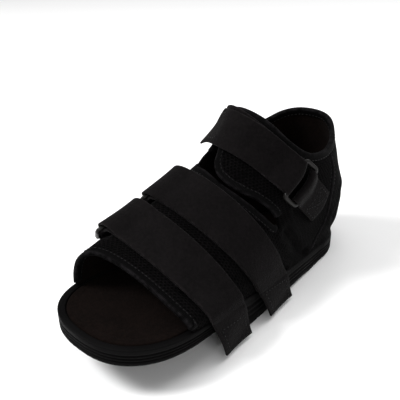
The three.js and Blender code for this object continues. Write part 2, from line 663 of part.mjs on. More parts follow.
// A band from its start, over the upper and round the ring's bar.
function strapSolid(band) {
  const reach = Math.sign(band.bar - band.start);
  const girth = bandGirth(band, band.bar);
  const loop = loopStations(band.bar, reach, STRAP_HALF, girth);
  const halves = [];
  const grid = spread(BAND_ROWS).map((f) => {
    const share = f - 0.5;
    const start = band.tail ? rimTurn(band, share) : band.start;
    const end = loop[0].turn - (reach * 6) / girth;
    const turns = spread(band.steps).map((s) => mix(start, end, s));
    const lie = turns.map((turn, j) => {
      const s = j / (band.steps - 1);
      const half = bandHalf(band, turn);
      const rise = (RING_STAND - band.lie - half) * smooth((s - 0.8) / 0.25);
      const clear = band.tail ? RIM_CLEAR * (1 - smooth(s / 0.2)) : 0;
      return bandPoint(band, share, turn, band.lie + half + rise + clear);
    });
    const tail = band.tail ? tailPoints(band, lie[0], share) : [];
    const over = loop.map((station) => bandPoint(band, share, station.turn, RING_STAND));
    if (halves.length === 0) {
      halves.push(...tail.map(() => STRAP_HALF), ...turns.map((turn) => bandHalf(band, turn)));
      halves.push(...loop.map((station) => station.half));
    }
    return [...tail, ...lie, ...over];
  });
  const strap = thickSheet(grid, halves);
  return band.tail ? strap : strap.add(flapSolid(band));
}

// The doubled strap's free end: it leaves the strap over the shin, a little askew, and droops.
function flapSolid(band) {
  const out = band.lie + 3 * LAYER_HALF - LAYER_SINK;
  const grid = spread(BAND_ROWS).map((f) => {
    const share = f - 0.5 - FLAP_SKEW;
    const row = spread(FLAP_STEPS).map((s) => bandPoint(band, share, band.flap + FLAP_STEP * (1 + 2 * s), out));
    const along = row[0].clone().sub(row[1]).normalize();
    const free = spread(FLAP_STEPS).map((s) => {
      const far = mix(FLAP_FRONT, FLAP_REAR, f) * (1 - s);
      const p = row[0].clone().addScaledVector(along, far);
      p.z -= far * far / (2 * FLAP_BEND);
      return p;
    });
    return [...free.slice(0, -1), ...row];
  });
  return thickSheet(grid, grid[0].map(() => LAYER_HALF - LAYER_SINK));
}

// The turn at which a band comes down to the rim on the outer side.
function rimTurn(band, share) {
  return zeroOf((turn) => {
    const p = bandPoint(band, share, turn, band.lie + STRAP_HALF);
    return p.z - rimHeight(p.y) - 2;
  }, 0.2, 0.42);
}

// The free end, hanging straight down past the sole's edge from where the band leaves the upper. It leans
// forward and narrows by the band's shares of its drop.
function tailPoints(band, from, share) {
  const down = new THREE.Vector3(TAIL_FLARE, 0, -1);
  down.addScaledVector(band.normal, -down.dot(band.normal));
  down.y -= band.lean + share * band.taper;
  down.normalize();
  const length = (from.z - TAIL_END) / -down.z;
  return spread(TAIL_STEPS + 1).slice(1).reverse().map((f) => from.clone().addScaledVector(down, length * f));
}

function ringPlace(band) {
  const reach = Math.sign(band.bar - band.start);
  const second = band.bar + reach * RING_SPAN / bandGirth(band, band.bar);
  return { reach, second };
}

function tabSolid(band) {
  const { reach, second } = ringPlace(band);
  const girth = bandGirth(band, second);
  const loop = loopStations(second, -reach, TAB_HALF, girth).reverse();
  const grid = spread(BAND_ROWS).map((f) => {
    const share = (f - 0.5) * TAB_SHARE;
    const over = loop.map((station) => bandPoint(band, share, station.turn, RING_STAND));
    const lie = spread(TAB_STEPS).map((s) => {
      const turn = mix(loop.at(-1).turn + reach * 6 / girth, band.sewn, s);
      const rise = (RING_STAND - FIT - TAB_HALF) * (1 - smooth(s / 0.35));
      return bandPoint(band, share, turn, FIT + TAB_HALF + rise);
    });
    return [...over, ...lie];
  });
  return thickSheet(grid, [...loop.map((station) => station.half), ...range(TAB_STEPS).map(() => TAB_HALF)]);
}

// A rectangular ring lying across its band, each bar grown by a clearance.
function ringSolidAt(band, grow) {
  const { second } = ringPlace(band);
  const first = bandPoint(band, 0, band.bar, RING_STAND);
  const far = bandPoint(band, 0, second, RING_STAND);
  const wide = bandPoint(band, 0.5, band.bar, RING_STAND).sub(bandPoint(band, -0.5, band.bar, RING_STAND));
  const across = wide.normalize();
  const along = far.clone().sub(first);
  along.addScaledVector(across, -along.dot(across));
  const span = along.length();
  along.normalize();
  const outX = band.width / 2 + RING_SLACK + BAR_WIDTH + grow;
  const outY = span / 2 + BAR_WIDTH / 2 + grow;
  const box = (x, y, corner) => {
    const shape = new THREE.Shape();
    shape.moveTo(-x + corner, -y);
    shape.lineTo(x - corner, -y);
    shape.quadraticCurveTo(x, -y, x, -y + corner);
    shape.lineTo(x, y - corner);
    shape.quadraticCurveTo(x, y, x - corner, y);
    shape.lineTo(-x + corner, y);
    shape.quadraticCurveTo(-x, y, -x, y - corner);
    shape.lineTo(-x, -y + corner);
    shape.quadraticCurveTo(-x, -y, -x + corner, -y);
    return shape;
  };
  const frame = box(outX, outY, BAR_WIDTH);
  frame.holes.push(box(outX - BAR_WIDTH - 2 * grow, outY - BAR_WIDTH - 2 * grow, BAR_WIDTH / 4));
  const depth = BAR_THICK + 2 * grow;
  const bars = new THREE.ExtrudeGeometry(frame, { depth, bevelEnabled: false, curveSegments: 3 });
  const place = new THREE.Matrix4().makeBasis(across, along, across.clone().cross(along));
  place.setPosition(first.add(far).multiplyScalar(0.5));
  return solidFromGeometry(bars.translate(0, 0, -depth / 2).applyMatrix4(place));
}

const CLOTH = { roughness: 0.92, metalness: 0 };
const LOOK = {
  rubber: new THREE.MeshStandardMaterial({ name: "rubber", color: 0x131314, roughness: 0.75, metalness: 0 }),
  lining: new THREE.MeshStandardMaterial({ name: "lining", color: 0x1c1a19, ...CLOTH }),
  mesh: new THREE.MeshStandardMaterial({ name: "mesh", color: 0x101012, ...CLOTH }),
  webbing: new THREE.MeshStandardMaterial({ name: "webbing", color: 0x17171a, ...CLOTH }),
  tape: new THREE.MeshStandardMaterial({ name: "tape", color: 0x0d0d0f, ...CLOTH }),
  plastic: new THREE.MeshStandardMaterial({ name: "plastic", color: 0x2f2e2d, roughness: 0.38 }),
};

function meshOf(made, name, material) {
  const { vertProperties, triVerts } = made.getMesh();
  const geometry = new THREE.BufferGeometry();
  geometry.setAttribute("position", new THREE.BufferAttribute(vertProperties, 3));
  geometry.setIndex(new THREE.BufferAttribute(triVerts, 1));
  geometry.computeVertexNormals();
  const mesh = new THREE.Mesh(geometry, material);
  mesh.name = name;
  return mesh;
}

const shoe = new THREE.Group();
shoe.name = "post_operative_shoe";
shoe.add(meshOf(outsoleSolid(), "outsole", LOOK.rubber));
shoe.add(meshOf(footbedSolid(), "footbed", LOOK.lining));

let upper = upperSolid();
for (const [name, points] of Object.entries(bindingCords())) {
  shoe.add(meshOf(cordSolid(points, CORD_RADIUS, false), name, LOOK.tape));
  upper = upper.subtract(cordSolid(points, CORD_RADIUS + FIT, false));
}
for (const [name, side] of [["counter_piping_outer", 1], ["counter_piping_inner", -1]]) {
  const points = pipingCord(side);
  shoe.add(meshOf(cordSolid(points, PIPING_RADIUS, false), name, LOOK.tape));
  upper = upper.subtract(cordSolid(points, PIPING_RADIUS + FIT, false));
}
shoe.add(meshOf(upper, "upper", LOOK.mesh));

for (const [name, band] of Object.entries(BANDS)) {
  const room = ringSolidAt(band, FIT);
  shoe.add(meshOf(strapSolid(band).subtract(room), `strap_${name}`, LOOK.webbing));
  shoe.add(meshOf(tabSolid(band).subtract(room), `tab_${name}`, LOOK.webbing));
  shoe.add(meshOf(ringSolidAt(band, 0), `ring_${name}`, LOOK.plastic));
}

export default shoe;
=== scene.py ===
"""Post operative shoe for the left foot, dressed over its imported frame.

Metres, +Z up, toe towards -Y, the outer side of the foot towards +X. Every piece is modelled in place.
"""
import math

import bmesh
import bpy
import numpy as np
from mathutils import Matrix, Vector


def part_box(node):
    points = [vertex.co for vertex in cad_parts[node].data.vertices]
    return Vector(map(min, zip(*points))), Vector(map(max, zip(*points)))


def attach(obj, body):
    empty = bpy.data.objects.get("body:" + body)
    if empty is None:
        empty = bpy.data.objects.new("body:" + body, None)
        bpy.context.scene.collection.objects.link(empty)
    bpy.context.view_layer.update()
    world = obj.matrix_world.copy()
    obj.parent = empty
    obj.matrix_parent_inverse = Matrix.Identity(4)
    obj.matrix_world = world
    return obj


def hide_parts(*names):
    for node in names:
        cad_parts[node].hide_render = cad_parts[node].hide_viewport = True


bl_info = {
    "name": "Post operative shoe",
    "version": (1, 0, 0),
    "blender": (4, 5, 0),
    "location": "View3D > Sidebar > Shoe",
    "description": "Builds the cloth, webbing, rubber and stitching of a post operative shoe over its frame",
    "category": "Add Mesh",
}

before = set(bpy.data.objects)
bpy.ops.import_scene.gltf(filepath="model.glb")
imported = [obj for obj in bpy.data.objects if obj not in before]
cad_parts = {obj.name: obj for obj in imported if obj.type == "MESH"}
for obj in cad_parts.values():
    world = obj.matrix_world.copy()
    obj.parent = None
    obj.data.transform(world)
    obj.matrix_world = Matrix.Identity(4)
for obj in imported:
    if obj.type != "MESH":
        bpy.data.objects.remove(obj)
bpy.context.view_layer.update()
SOLE_LOW, SOLE_HIGH = (np.array(corner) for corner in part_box("outsole"))

# The shoe's own sizes, as the frame has them
SOLE_LENGTH = float(SOLE_HIGH[1] - SOLE_LOW[1])
BALL_OUTER = 0.052
BALL_INNER = 0.0563
BALL_RUN = 0.064
TOE_SQUARENESS = 2.45
TOE_SKEW = 0.002
HEEL_DEPTH = 0.046
HEEL_ROUNDNESS = 2.15
HEEL_TOP = 0.0122
TOE_TOP = 0.0418
TOE_UNDERSIDE = 0.0274
RISE = 0.0212
RISE_RUN = 0.0435
FLAT_FRONT = -0.014
ARCH_RISE = 0.0016
ARCH_FRONT = 0.014
ARCH_BACK = 0.076
ARCH_RUN = 0.016
GROOVE_INSET = 0.0056
FOOTBED_THICK = 0.005
FIT = 0.0003
WALL = 0.003
UPPER_INSET = 0.001
TUCK_HEIGHT = 0.018
COLLAR_HEIGHT = 0.121
SLIT_HALF = 0.0098  # half the throat slit between the cloth's raw edges, in turns
CORD_RADIUS = 0.0022
BINDING_PROUD = CORD_RADIUS - WALL / 2
STRAP_WIDTH = 0.035
ANKLE_STRAP_WIDTH = 0.030
TAIL_END = 0.004
TAIL_FLARE = 0.14
FRONT_STRAP_PLACE = -0.041
MIDDLE_STRAP_PLACE = 0.0195
ANKLE_STRAP_PLACE = 0.142
FLAP_FRONT = 0.020
FLAP_REAR = 0.006
FLAP_BEND = 0.040
FLAP_SKEW = 0.13
RING_STAND = 0.0076
RING_SPAN = 0.014
RING_SLACK = 0.0006
BAR_WIDTH = 0.0034
BAR_THICK = 0.0034
RING_CORNER = 0.0026
RING_SQUARENESS = 3.2
OUTSOLE_SIDES = 360
OUTSOLE_ACROSS = 20
FOOTBED_SIDES = 300
FOOTBED_ACROSS = 56
FOOT_ROUND = 0.0016
RIM_ROUND = 0.0012
PAD_ROUND = 0.0016
TREAD_PITCH = 0.015
GROOVE_WIDTH = 0.0032
LEVEL_STEP = 0.001  # how far the cloth map moves on from one ring of a wall to the next
CORD_GIRTH = 0.012  # how wide the cloth map is round a cord
PIPING_RADIUS = 0.0015
PIPING_SEAM = 0.0036
THROAT_HALF = 0.0125  # half the throat slit between the middles of its tapes, in turns
STRAP_LOOP_RUN = 0.024
TAB_LOOP_RUN = 0.018
TAB_SEAM = (0.08, 0.75)
STITCH_FLATNESS = 1.3
STITCH_LOOK = 0.0008  # how far ahead a stitch looks to find its direction
STITCH_LIFT = 0.00003
HALF_LENGTH = SOLE_LENGTH / 2
BALL_Y = BALL_RUN - HALF_LENGTH
HEEL_Y = HALF_LENGTH - HEEL_DEPTH

# The outsole's side: places of its ribs as shares of its height, each rib's shape, and the rim's lip
RIB_PLACES = (0.3, 0.48, 0.66)
RIB_SHAPE = ((-0.06, 0), (-0.045, 0.5), (-0.02, 1), (0.02, 1), (0.045, 0.5), (0.06, 0))
RIM_LIP = ((0.0030, 0.00018), (0.0048, 0), (GROOVE_INSET - 0.0003, -0.0001), (GROOVE_INSET, -0.0006),
           (GROOVE_INSET, -FOOTBED_THICK))

# Half of a binding's section, from its fold to its raw edge, and all of it
BINDING_HALF = [(-0.0022, 0), (-0.0020, 0.0012), (-0.0012, 0.0020), (0, 0.0022), (0.0016, 0.00215),
                (0.0032, 0.0021), (0.0040, 0.0020), (0.0044, 0.0012), (0.0044, 0)]
BINDING_PROFILE = BINDING_HALF + [(a, -b) for a, b in BINDING_HALF[-2:0:-1]]

# Studio lights: name, place, size and power
LIGHTS = (
    ("key", (-0.75, -0.85, 1.25), 0.55, 30),
    ("fill", (1.3, -0.5, 0.7), 0.9, 7),
    ("rim", (0.2, 1.4, 1.2), 0.8, 10),
    ("top", (0.0, 0.1, 1.8), 1.2, 12),
)
LIGHT_AIM = (0, 0, 0.04)
WORLD_LIGHT = 0.3
WORLD_SEEN = 0.95
CAMERA_ANGLES = (43.55, 28.93, -1.09)  # azimuth, elevation and roll
CAMERA_LENS = 55.95
CAMERA_PLACE = (0.28219, -0.31605, 0.32146)

# The last: one row for each section plane, fanned from the toe, round the heel and up the ankle
LAST_COLUMNS = ("run", "base", "crown_run", "crown", "outer", "inner", "ridge", "belly",
                "crown_outer", "crown_inner", "low")
LAST_ROWS = np.array([
    (0.1, -0.115, 0.11, 0.235, 0.88, 0.9, -0.66, 0.42, 1.35, 2.4, 4),
    (0.2, -0.115, 0.2, 0.295, 0.945, 0.95, -0.66, 0.38, 1.32, 2.4, 4),
    (0.305, -0.115, 0.3, 0.385, 0.94, 0.94, -0.56, 0.34, 1.32, 2.4, 4),
    (0.41, -0.115, 0.392, 0.495, 0.915, 0.9, -0.44, 0.32, 1.42, 2.4, 4),
    (0.52, -0.115, 0.475, 0.605, 0.885, 0.86, -0.33, 0.31, 1.58, 2.4, 4),
    (0.625, -0.115, 0.53, 0.7, 0.845, 0.83, -0.25, 0.32, 1.7, 2.4, 3.8),
    (0.74, -0.115, 0.56, 0.785, 0.8, 0.81, -0.2, 0.34, 1.9, 2.3, 3.4),
    (0.856, -0.115, 0.583, 0.865, 0.775, 0.79, -0.16, 0.35, 2, 2.2, 3),
    (0.95, -0.05, 0.602, 0.935, 0.785, 0.785, -0.14, 0.36, 2, 2.1, 2.6),
    (1, 0.13, 0.617, 0.995, 0.785, 0.79, -0.13, 0.38, 2, 2.1, 2.4),
    (1.02, 0.3, 0.629, 1.05, 0.765, 0.775, -0.12, 0.42, 2, 2, 2.25),
    (1.012, 0.52, 0.638, 1.1, 0.7, 0.75, -0.12, 0.48, 2, 2, 2.1),
    (0.99, 0.75, 0.648, 1.13, 0.67, 0.735, -0.12, 0.5, 2, 2, 2),
    (0.977, 0.94, 0.652, 1.19, 0.655, 0.73, -0.12, 0.5, 2, 2, 2),
])
LAST_END = len(LAST_ROWS) - 1

# Edges and seams on the last: (turn, row) or (row, turn), with the turn 0 on the crown and 0.25 outside
TOE_EDGE = np.array([(-0.5, 0.3), (-0.3, 0.3), (-0.2, 0.3), (-0.12, 0.36), (-0.06, 0.48), (0, 0.62),
                     (0.05, 0.8), (0.1, 0.92), (0.16, 1), (0.25, 1.08), (0.33, 1.1), (0.5, 1.1)])
SLOT_FRONT = np.array([(-0.098, 5.2), (-0.09, 4.85), (-0.072, 4.7), (-0.045, 4.62), (-0.022, 4.55),
                       (-0.005, 4.52), (0.007, 4.5), (0.028, 4.45), (0.063, 4.43), (0.097, 4.58),
                       (0.125, 4.75), (0.153, 4.93), (0.174, 5.08), (0.186, 5.2), (0.191, 5.32)])
SLOT_REAR = np.array([(-0.098, 5.5), (-0.09, 6.5), (-0.072, 7.1), (-0.045, 7.3), (-0.022, 7),
                      (-0.005, 6.2), (0.007, 5.45), (0.028, 4.95), (0.063, 4.78), (0.097, 4.98),
                      (0.125, 5.3), (0.153, 5.56), (0.174, 5.66), (0.186, 5.56), (0.191, 5.42)])
SLOT_ENDS = (-0.098, 0.191)
SLOT_JOIN = 5.36  # row of the line that goes on from the slot's ends
SLIT_TURN = -0.045
TOPLINE = np.array([(0.5, 1.4), (0.6, 1.3), (0.64, 1.2), (0.69, 1.04), (0.75, 0.92), (0.82, 0.89),
                    (0.89, 0.91), (0.94, 0.97), (0.975, 1), (1.1, 1)])
PIPING = np.array([(6.5, 0.312), (7.2, 0.284), (8, 0.264), (9, 0.253), (10.2, 0.256), (10.6, 0.258)])
WAIST = np.array([(1, 1), (0.966, 0.93), (0.917, 0.79), (0.856, 0.71), (0.766, 0.705)])


def unit(vector):
    """The vector at length one."""
    return np.array(vector, float) / np.linalg.norm(vector)


def slab(slant, place, shift=0.0):
    """A strap's slanted slab of the shoe: the way it faces and how far along that its middle lies."""
    return {"normal": unit(slant), "middle": place / np.linalg.norm(slant) + shift}


# Straps: `start`, `bar`, `sewn` and `flap` are turns on the last, `lie` is the height above it
OVER_FOOT = {"width": STRAP_WIDTH, "lie": FIT, "start": 0.3, "bar": -0.082, "sewn": -0.225, "tail": True}
OVER_SHIN = {"width": ANKLE_STRAP_WIDTH, "lie": BINDING_PROUD + FIT, "start": -0.235, "flap": -0.05,
             "bar": 0.152, "sewn": 0.24, "tail": False}
BANDS = {
    "front": slab((0, 1, 0.22), FRONT_STRAP_PLACE) | OVER_FOOT | {"lean": 0, "taper": 0.12},
    "middle": slab((0, 1, 0.4), MIDDLE_STRAP_PLACE) | OVER_FOOT | {"lean": 0.09, "taper": 0.18},
    "ankle": slab((0.27, 1.1, 1), ANKLE_STRAP_PLACE, ANKLE_STRAP_WIDTH / 2) | OVER_SHIN,
}

# Creases of the padded wall: from and to places on the last, width and depth
CREASE_COLUMNS = ("row_a", "turn_a", "row_b", "turn_b", "width", "depth")
CREASES = (
    (1.5, 0.16, 2.1, 0.27, 0.0030, 0.0014),
    (1.3, -0.05, 1.7, -0.16, 0.0030, 0.0012),
    (4.3, 0.21, 5.0, 0.30, 0.0036, 0.0019),
    (5.6, 0.215, 6.2, 0.30, 0.0040, 0.0021),
    (6.6, 0.20, 7.6, 0.23, 0.0034, 0.0015),
    (8.4, 0.31, 9.6, 0.34, 0.0044, 0.0019),
    (8.8, 0.41, 9.0, 0.50, 0.0050, 0.0006),
    (10.0, 0.36, 10.1, 0.46, 0.0050, 0.0007),
    (8.2, -0.30, 9.5, -0.34, 0.0044, 0.0019),
    (6.2, -0.24, 7.4, -0.27, 0.0036, 0.0018),
    (3.2, -0.27, 4.6, -0.25, 0.0034, 0.0014),
    (10.4, 0.18, 11.2, 0.24, 0.0032, 0.0014),
)


def smooth(value):
    """An S curve from 0 to 1."""
    value = np.clip(value, 0, 1)
    return value * value * (3 - 2 * value)


def mix(a, b, share):
    """A value between two, by a share."""
    return a + (b - a) * share


def read(values, row):
    """Reads evenly spaced numbers at a row number that need not be whole, along a smooth curve."""
    i = np.clip(np.floor(row).astype(int), 0, len(values) - 2)
    f = row - i
    padded = np.concatenate([[2 * values[0] - values[1]], values, [2 * values[-1] - values[-2]]])
    p0, p1, p2, p3 = (padded[i + k] for k in range(4))
    m1, m2 = (p2 - p0) / 2, (p3 - p1) / 2
    f2, f3 = f * f, f * f * f
    return (2 * f3 - 3 * f2 + 1) * p1 + (f3 - 2 * f2 + f) * m1 + (3 * f2 - 2 * f3) * p2 + (f3 - f2) * m2


def table_at(table, place):
    """Reads a table of places and values that need not be evenly spaced, along a smooth curve."""
    places, values = table[:, 0], table[:, 1]
    slopes = np.diff(values) / np.diff(places)
    i = np.clip(np.searchsorted(places, place) - 1, 0, len(places) - 2)
    here = slopes[i]
    before = (slopes[np.maximum(i - 1, 0)] + here) / 2
    after = (slopes[np.minimum(i + 1, len(slopes) - 1)] + here) / 2
    span = places[i + 1] - places[i]
    f = np.clip((place - places[i]) / span, 0, 1)
    f2, f3 = f * f, f * f * f
    return ((2 * f3 - 3 * f2 + 1) * values[i] + (f3 - 2 * f2 + f) * before * span
            + (3 * f2 - 2 * f3) * values[i + 1] + (f3 - f2) * after * span)


def solve(f, low, high):
    """Finds where a function of an array passes zero between two values."""
    a, b = np.array(low, float), np.array(high, float)
    sign = np.sign(f(a))
    for _ in range(24):
        m = (a + b) / 2
        same = np.sign(f(m)) == sign
        a, b = np.where(same, m, a), np.where(same, b, m)
    return (a + b) / 2


def rim_height(y):
    """Height of the outsole's rim above the floor at a place along the shoe."""
    return mix(HEEL_TOP, TOE_TOP, (HALF_LENGTH - y) / SOLE_LENGTH)


def tread_height(y):
    """Height of the tread: flat but for the arch, then the step up to the toe plate."""
    arch = ARCH_RISE * smooth((y - ARCH_FRONT) / ARCH_RUN) * smooth((ARCH_BACK - y) / ARCH_RUN)
    plate = np.clip((FLAT_FRONT - RISE_RUN - y) / (FLAT_FRONT - RISE_RUN + HALF_LENGTH), 0, 1)
    return arch + RISE * smooth((FLAT_FRONT - y) / RISE_RUN) + (TOE_UNDERSIDE - RISE) * plate


def sole_half(y, side):
    """Half width of the sole at a place along the shoe."""
    row = np.clip((y - BALL_Y) / (HEEL_Y - BALL_Y), 0, 1) * (len(WAIST) - 1)
    return np.where(side >= 0, read(WAIST[:, 0], row) * BALL_OUTER, read(WAIST[:, 1], row) * BALL_INNER)


def sole_gauge(x, y, inset):
    """How far out a place lies against the sole's outline: 1 on the line, under 1 inside it."""
    toe = np.maximum(0, (BALL_Y - y) / (BALL_RUN - inset))
    heel = np.maximum(0, (y - HEEL_Y) / (HEEL_DEPTH - inset))
    across = np.abs(x + TOE_SKEW * toe * toe) / (sole_half(y, x) - inset)
    fore = (across ** TOE_SQUARENESS + toe ** TOE_SQUARENESS) ** (1 / TOE_SQUARENESS)
    rear = (across ** HEEL_ROUNDNESS + heel ** HEEL_ROUNDNESS) ** (1 / HEEL_ROUNDNESS)
    return np.where(toe > 0, fore, rear)


def sole_point(turn, inset):
    """The sole's outline drawn in by an inset, from the heel's tip round the outer side to the toe."""
    angle = turn * 2 * np.pi
    y = np.cos(angle) * (HALF_LENGTH - inset)
    side = np.where(np.sin(angle) >= 0, 1, -1)
    toe = np.clip((BALL_Y - y) / (BALL_RUN - inset), 0, 1)
    heel = np.clip((y - HEEL_Y) / (HEEL_DEPTH - inset), 0, 1)
    toe_share = (1 - toe ** TOE_SQUARENESS) ** (1 / TOE_SQUARENESS)
    heel_share = (1 - heel ** HEEL_ROUNDNESS) ** (1 / HEEL_ROUNDNESS)
    return side * (sole_half(y, side) - inset) * toe_share * heel_share - TOE_SKEW * toe * toe, y


def last_point(row, turn):
    """A point on the last's surface."""
    row, turn = np.broadcast_arrays(np.asarray(row, float), np.asarray(turn, float))
    at = {key: read(LAST_ROWS[:, k], row) for k, key in enumerate(LAST_COLUMNS)}
    low_y = at["run"] * SOLE_LENGTH - HALF_LENGTH
    high_y = at["crown_run"] * SOLE_LENGTH - HALF_LENGTH
    low_z = rim_height(low_y) + at["base"] * COLLAR_HEIGHT
    high_z = rim_height(high_y) + at["crown"] * COLLAR_HEIGHT
    outer, inner = at["outer"] * BALL_OUTER, at["inner"] * BALL_INNER
    side, up = np.sin(turn * 2 * np.pi), np.cos(turn * 2 * np.pi)
    above = up >= 0
    square = np.where(above, np.where(side >= 0, at["crown_outer"], at["crown_inner"]), at["low"])
    centre = np.where(above, at["ridge"] * BALL_INNER, 0)
    across = np.abs(side) ** (2 / square)
    x = np.where(side >= 0, centre + (outer - centre) * across, centre - (inner + centre) * across)
    lift = np.abs(up) ** (2 / square)
    belly = at["belly"]
    share = np.where(above, belly + (1 - belly) * lift, belly - belly * lift)
    y, z = mix(low_y, high_y, share), mix(low_z, high_z, share)
    near = 1 - smooth((z - rim_height(y)) / TUCK_HEIGHT)
    gauge = np.maximum(sole_gauge(x, y, UPPER_INSET), 1e-6)
    grow = mix(1, 1 / gauge, near * smooth((gauge - 0.55) / 0.3))
    return np.stack([x * grow, np.where(y > HEEL_Y, HEEL_Y + (y - HEEL_Y) * grow, y), z], axis=-1)


def skin_normal(row, turn):
    """The last's outward normal."""
    step = 0.02
    along = last_point(row + step, turn) - last_point(row - step, turn)
    across = last_point(row, turn + step / 2) - last_point(row, turn - step / 2)
    facing = -np.cross(along, across)
    return facing / np.linalg.norm(facing, axis=-1, keepdims=True)


def skin(row, turn, out):
    """A point on the last, moved out along its normal."""
    row, turn, out = np.broadcast_arrays(*(np.asarray(v, float) for v in (row, turn, out)))
    return last_point(row, turn) + skin_normal(row, turn) * out[..., None]


def toe_row(turn):
    """Row of the toe opening's edge."""
    return table_at(TOE_EDGE, np.where(turn > 0.5, turn - 1, turn))


def topline_row(turn):
    """Row at which the collar's topline crosses a turn."""
    def above(row):
        p = last_point(row, turn)
        return p[..., 2] - COLLAR_HEIGHT * table_at(TOPLINE, (p[..., 1] + HALF_LENGTH) / SOLE_LENGTH)
    return solve(above, np.full_like(turn, 7.5), np.full_like(turn, LAST_END))


def band_row(band, share, turn, out):
    """Row at which a band's line crosses a turn."""
    distance = band["middle"] + share * band["width"]
    share, turn, out = np.broadcast_arrays(share, turn, out)
    def beyond(row):
        return skin(row, turn, out) @ band["normal"] - distance
    return solve(beyond, np.zeros(turn.shape), np.full(turn.shape, float(LAST_END)))


def band_point(band, share, turn, out):
    """A point of a band at a share of its width, a turn and a height over the last."""
    return skin(band_row(band, share, turn, out), turn, out)


def band_girth(band, turn):
    """Metres that one whole turn measures at a place on the band."""
    ends = band_point(band, np.zeros(2), np.array([turn - 0.01, turn + 0.01]), RING_STAND)
    return float(np.linalg.norm(ends[1] - ends[0]) / 0.02)


def running_length(points):
    """Distance from the first point along each row of points."""
    steps = np.linalg.norm(np.diff(points, axis=-2), axis=-1)
    start = np.zeros(steps.shape[:-1] + (1,))
    return np.concatenate([start, np.cumsum(steps, axis=-1)], axis=-1)


def nearest(points, line):
    """Distance from each point to a line of points."""
    best = np.full(len(points), np.inf)
    for a, b in zip(line[:-1], line[1:]):
        step = b - a
        share = np.clip((points - a) @ step / (step @ step), 0, 1)
        best = np.minimum(best, np.linalg.norm(points - a - share[:, None] * step, axis=1))
    return best


# Helpers that make a piece


def finish_piece(name, made, material, node_names=()):
    """Turns a bmesh into a piece that rides on the shoe and stands for its nodes."""
    mesh = bpy.data.meshes.new(name)
    made.to_mesh(mesh)
    made.free()
    return dress_piece(name, mesh, material, node_names)


def dress_piece(name, mesh, materials, node_names=()):
    """Links a mesh as a piece with its materials."""
    for material in materials if isinstance(materials, (list, tuple)) else [materials]:
        mesh.materials.append(material)
    mesh.polygons.foreach_set("use_smooth", [True] * len(mesh.polygons))
    piece = bpy.data.objects.new(name, mesh)
    bpy.context.scene.collection.objects.link(piece)
    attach(piece, "root")
    if node_names:
        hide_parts(*node_names)
    return piece


def grid(points, uv, wrap=False, caps=False):
    """A bmesh grid laid over rows of points, joined round to a tube where `wrap` is set."""
    rows, columns = points.shape[:2]
    made = bmesh.new()
    bmesh.ops.create_grid(made, x_segments=columns - 1, y_segments=rows - 1, size=1)
    places = made.loops.layers.uv.new("cloth")
    index = {}
    for vert in made.verts:
        i = round((vert.co.y + 1) / 2 * (rows - 1))
        j = round((vert.co.x + 1) / 2 * (columns - 1))
        index[vert] = (i, j)
    for face in made.faces:
        for loop in face.loops:
            loop[places].uv = uv[index[loop.vert]]
    for vert, (i, j) in index.items():
        vert.co = points[i, j]
    if wrap:
        bmesh.ops.remove_doubles(made, verts=made.verts, dist=1e-6)
    if caps:
        bmesh.ops.holes_fill(made, edges=made.edges, sides=0)
    bmesh.ops.recalc_face_normals(made, faces=made.faces)
    return made


def join(made, other):
    """Adds one bmesh to another."""
    mesh = bpy.data.meshes.new("joined")
    other.to_mesh(mesh)
    other.free()
    made.from_mesh(mesh)
    bpy.data.meshes.remove(mesh)


def close_up(made):
    """Joins a shell's parts, fills what is open and turns its faces out."""
    bmesh.ops.remove_doubles(made, verts=made.verts, dist=1e-6)
    bmesh.ops.holes_fill(made, edges=made.edges, sides=0)
    bmesh.ops.recalc_face_normals(made, faces=made.faces)


def outline_rings(turns, levels):
    """Rings on the sole's outline, from levels of height share, inset and height over that."""
    rings = []
    for up, inset, over in levels:
        x, y = sole_point(turns, inset)
        rings.append(np.stack([x, y, mix(tread_height(y), rim_height(y), up) + over], axis=-1))
    return np.array(rings)


def ring_wall(rings, around):
    """A wall of rings whose cloth runs along one of them."""
    heights = np.arange(len(rings)) * LEVEL_STEP
    cloth = np.broadcast_arrays(running_length(around)[None, :], heights[:, None])
    return grid(rings, np.stack(cloth, axis=-1))


def across_ring(ring, shares):
    """Rows of points from one side of a ring to the other."""
    half = len(ring) // 2
    return mix(ring[1:half, None], ring[::-1][1:half, None], shares[None, :, None])


def along_line(points):
    """The way a line runs at each of its points."""
    along = np.gradient(points, axis=0)
    return along / np.linalg.norm(along, axis=1, keepdims=True)


def through(piece, modifier_type, **values):
    """Applies one modifier to a piece's mesh."""
    modifier = piece.modifiers.new(modifier_type.lower(), modifier_type)
    for key, value in values.items():
        setattr(modifier, key, value)
    bpy.context.view_layer.update()
    shaped = bpy.data.meshes.new_from_object(piece.evaluated_get(bpy.context.evaluated_depsgraph_get()))
    piece.modifiers.clear()
    old, piece.data = piece.data, shaped
    shaped.name = old.name
    bpy.data.meshes.remove(old)
    return piece


def facings(centres):
    """Which way a sheet of points faces at each of them."""
    facing = np.cross(np.gradient(centres, axis=0), np.gradient(centres, axis=1))
    return facing / np.linalg.norm(facing, axis=-1, keepdims=True)


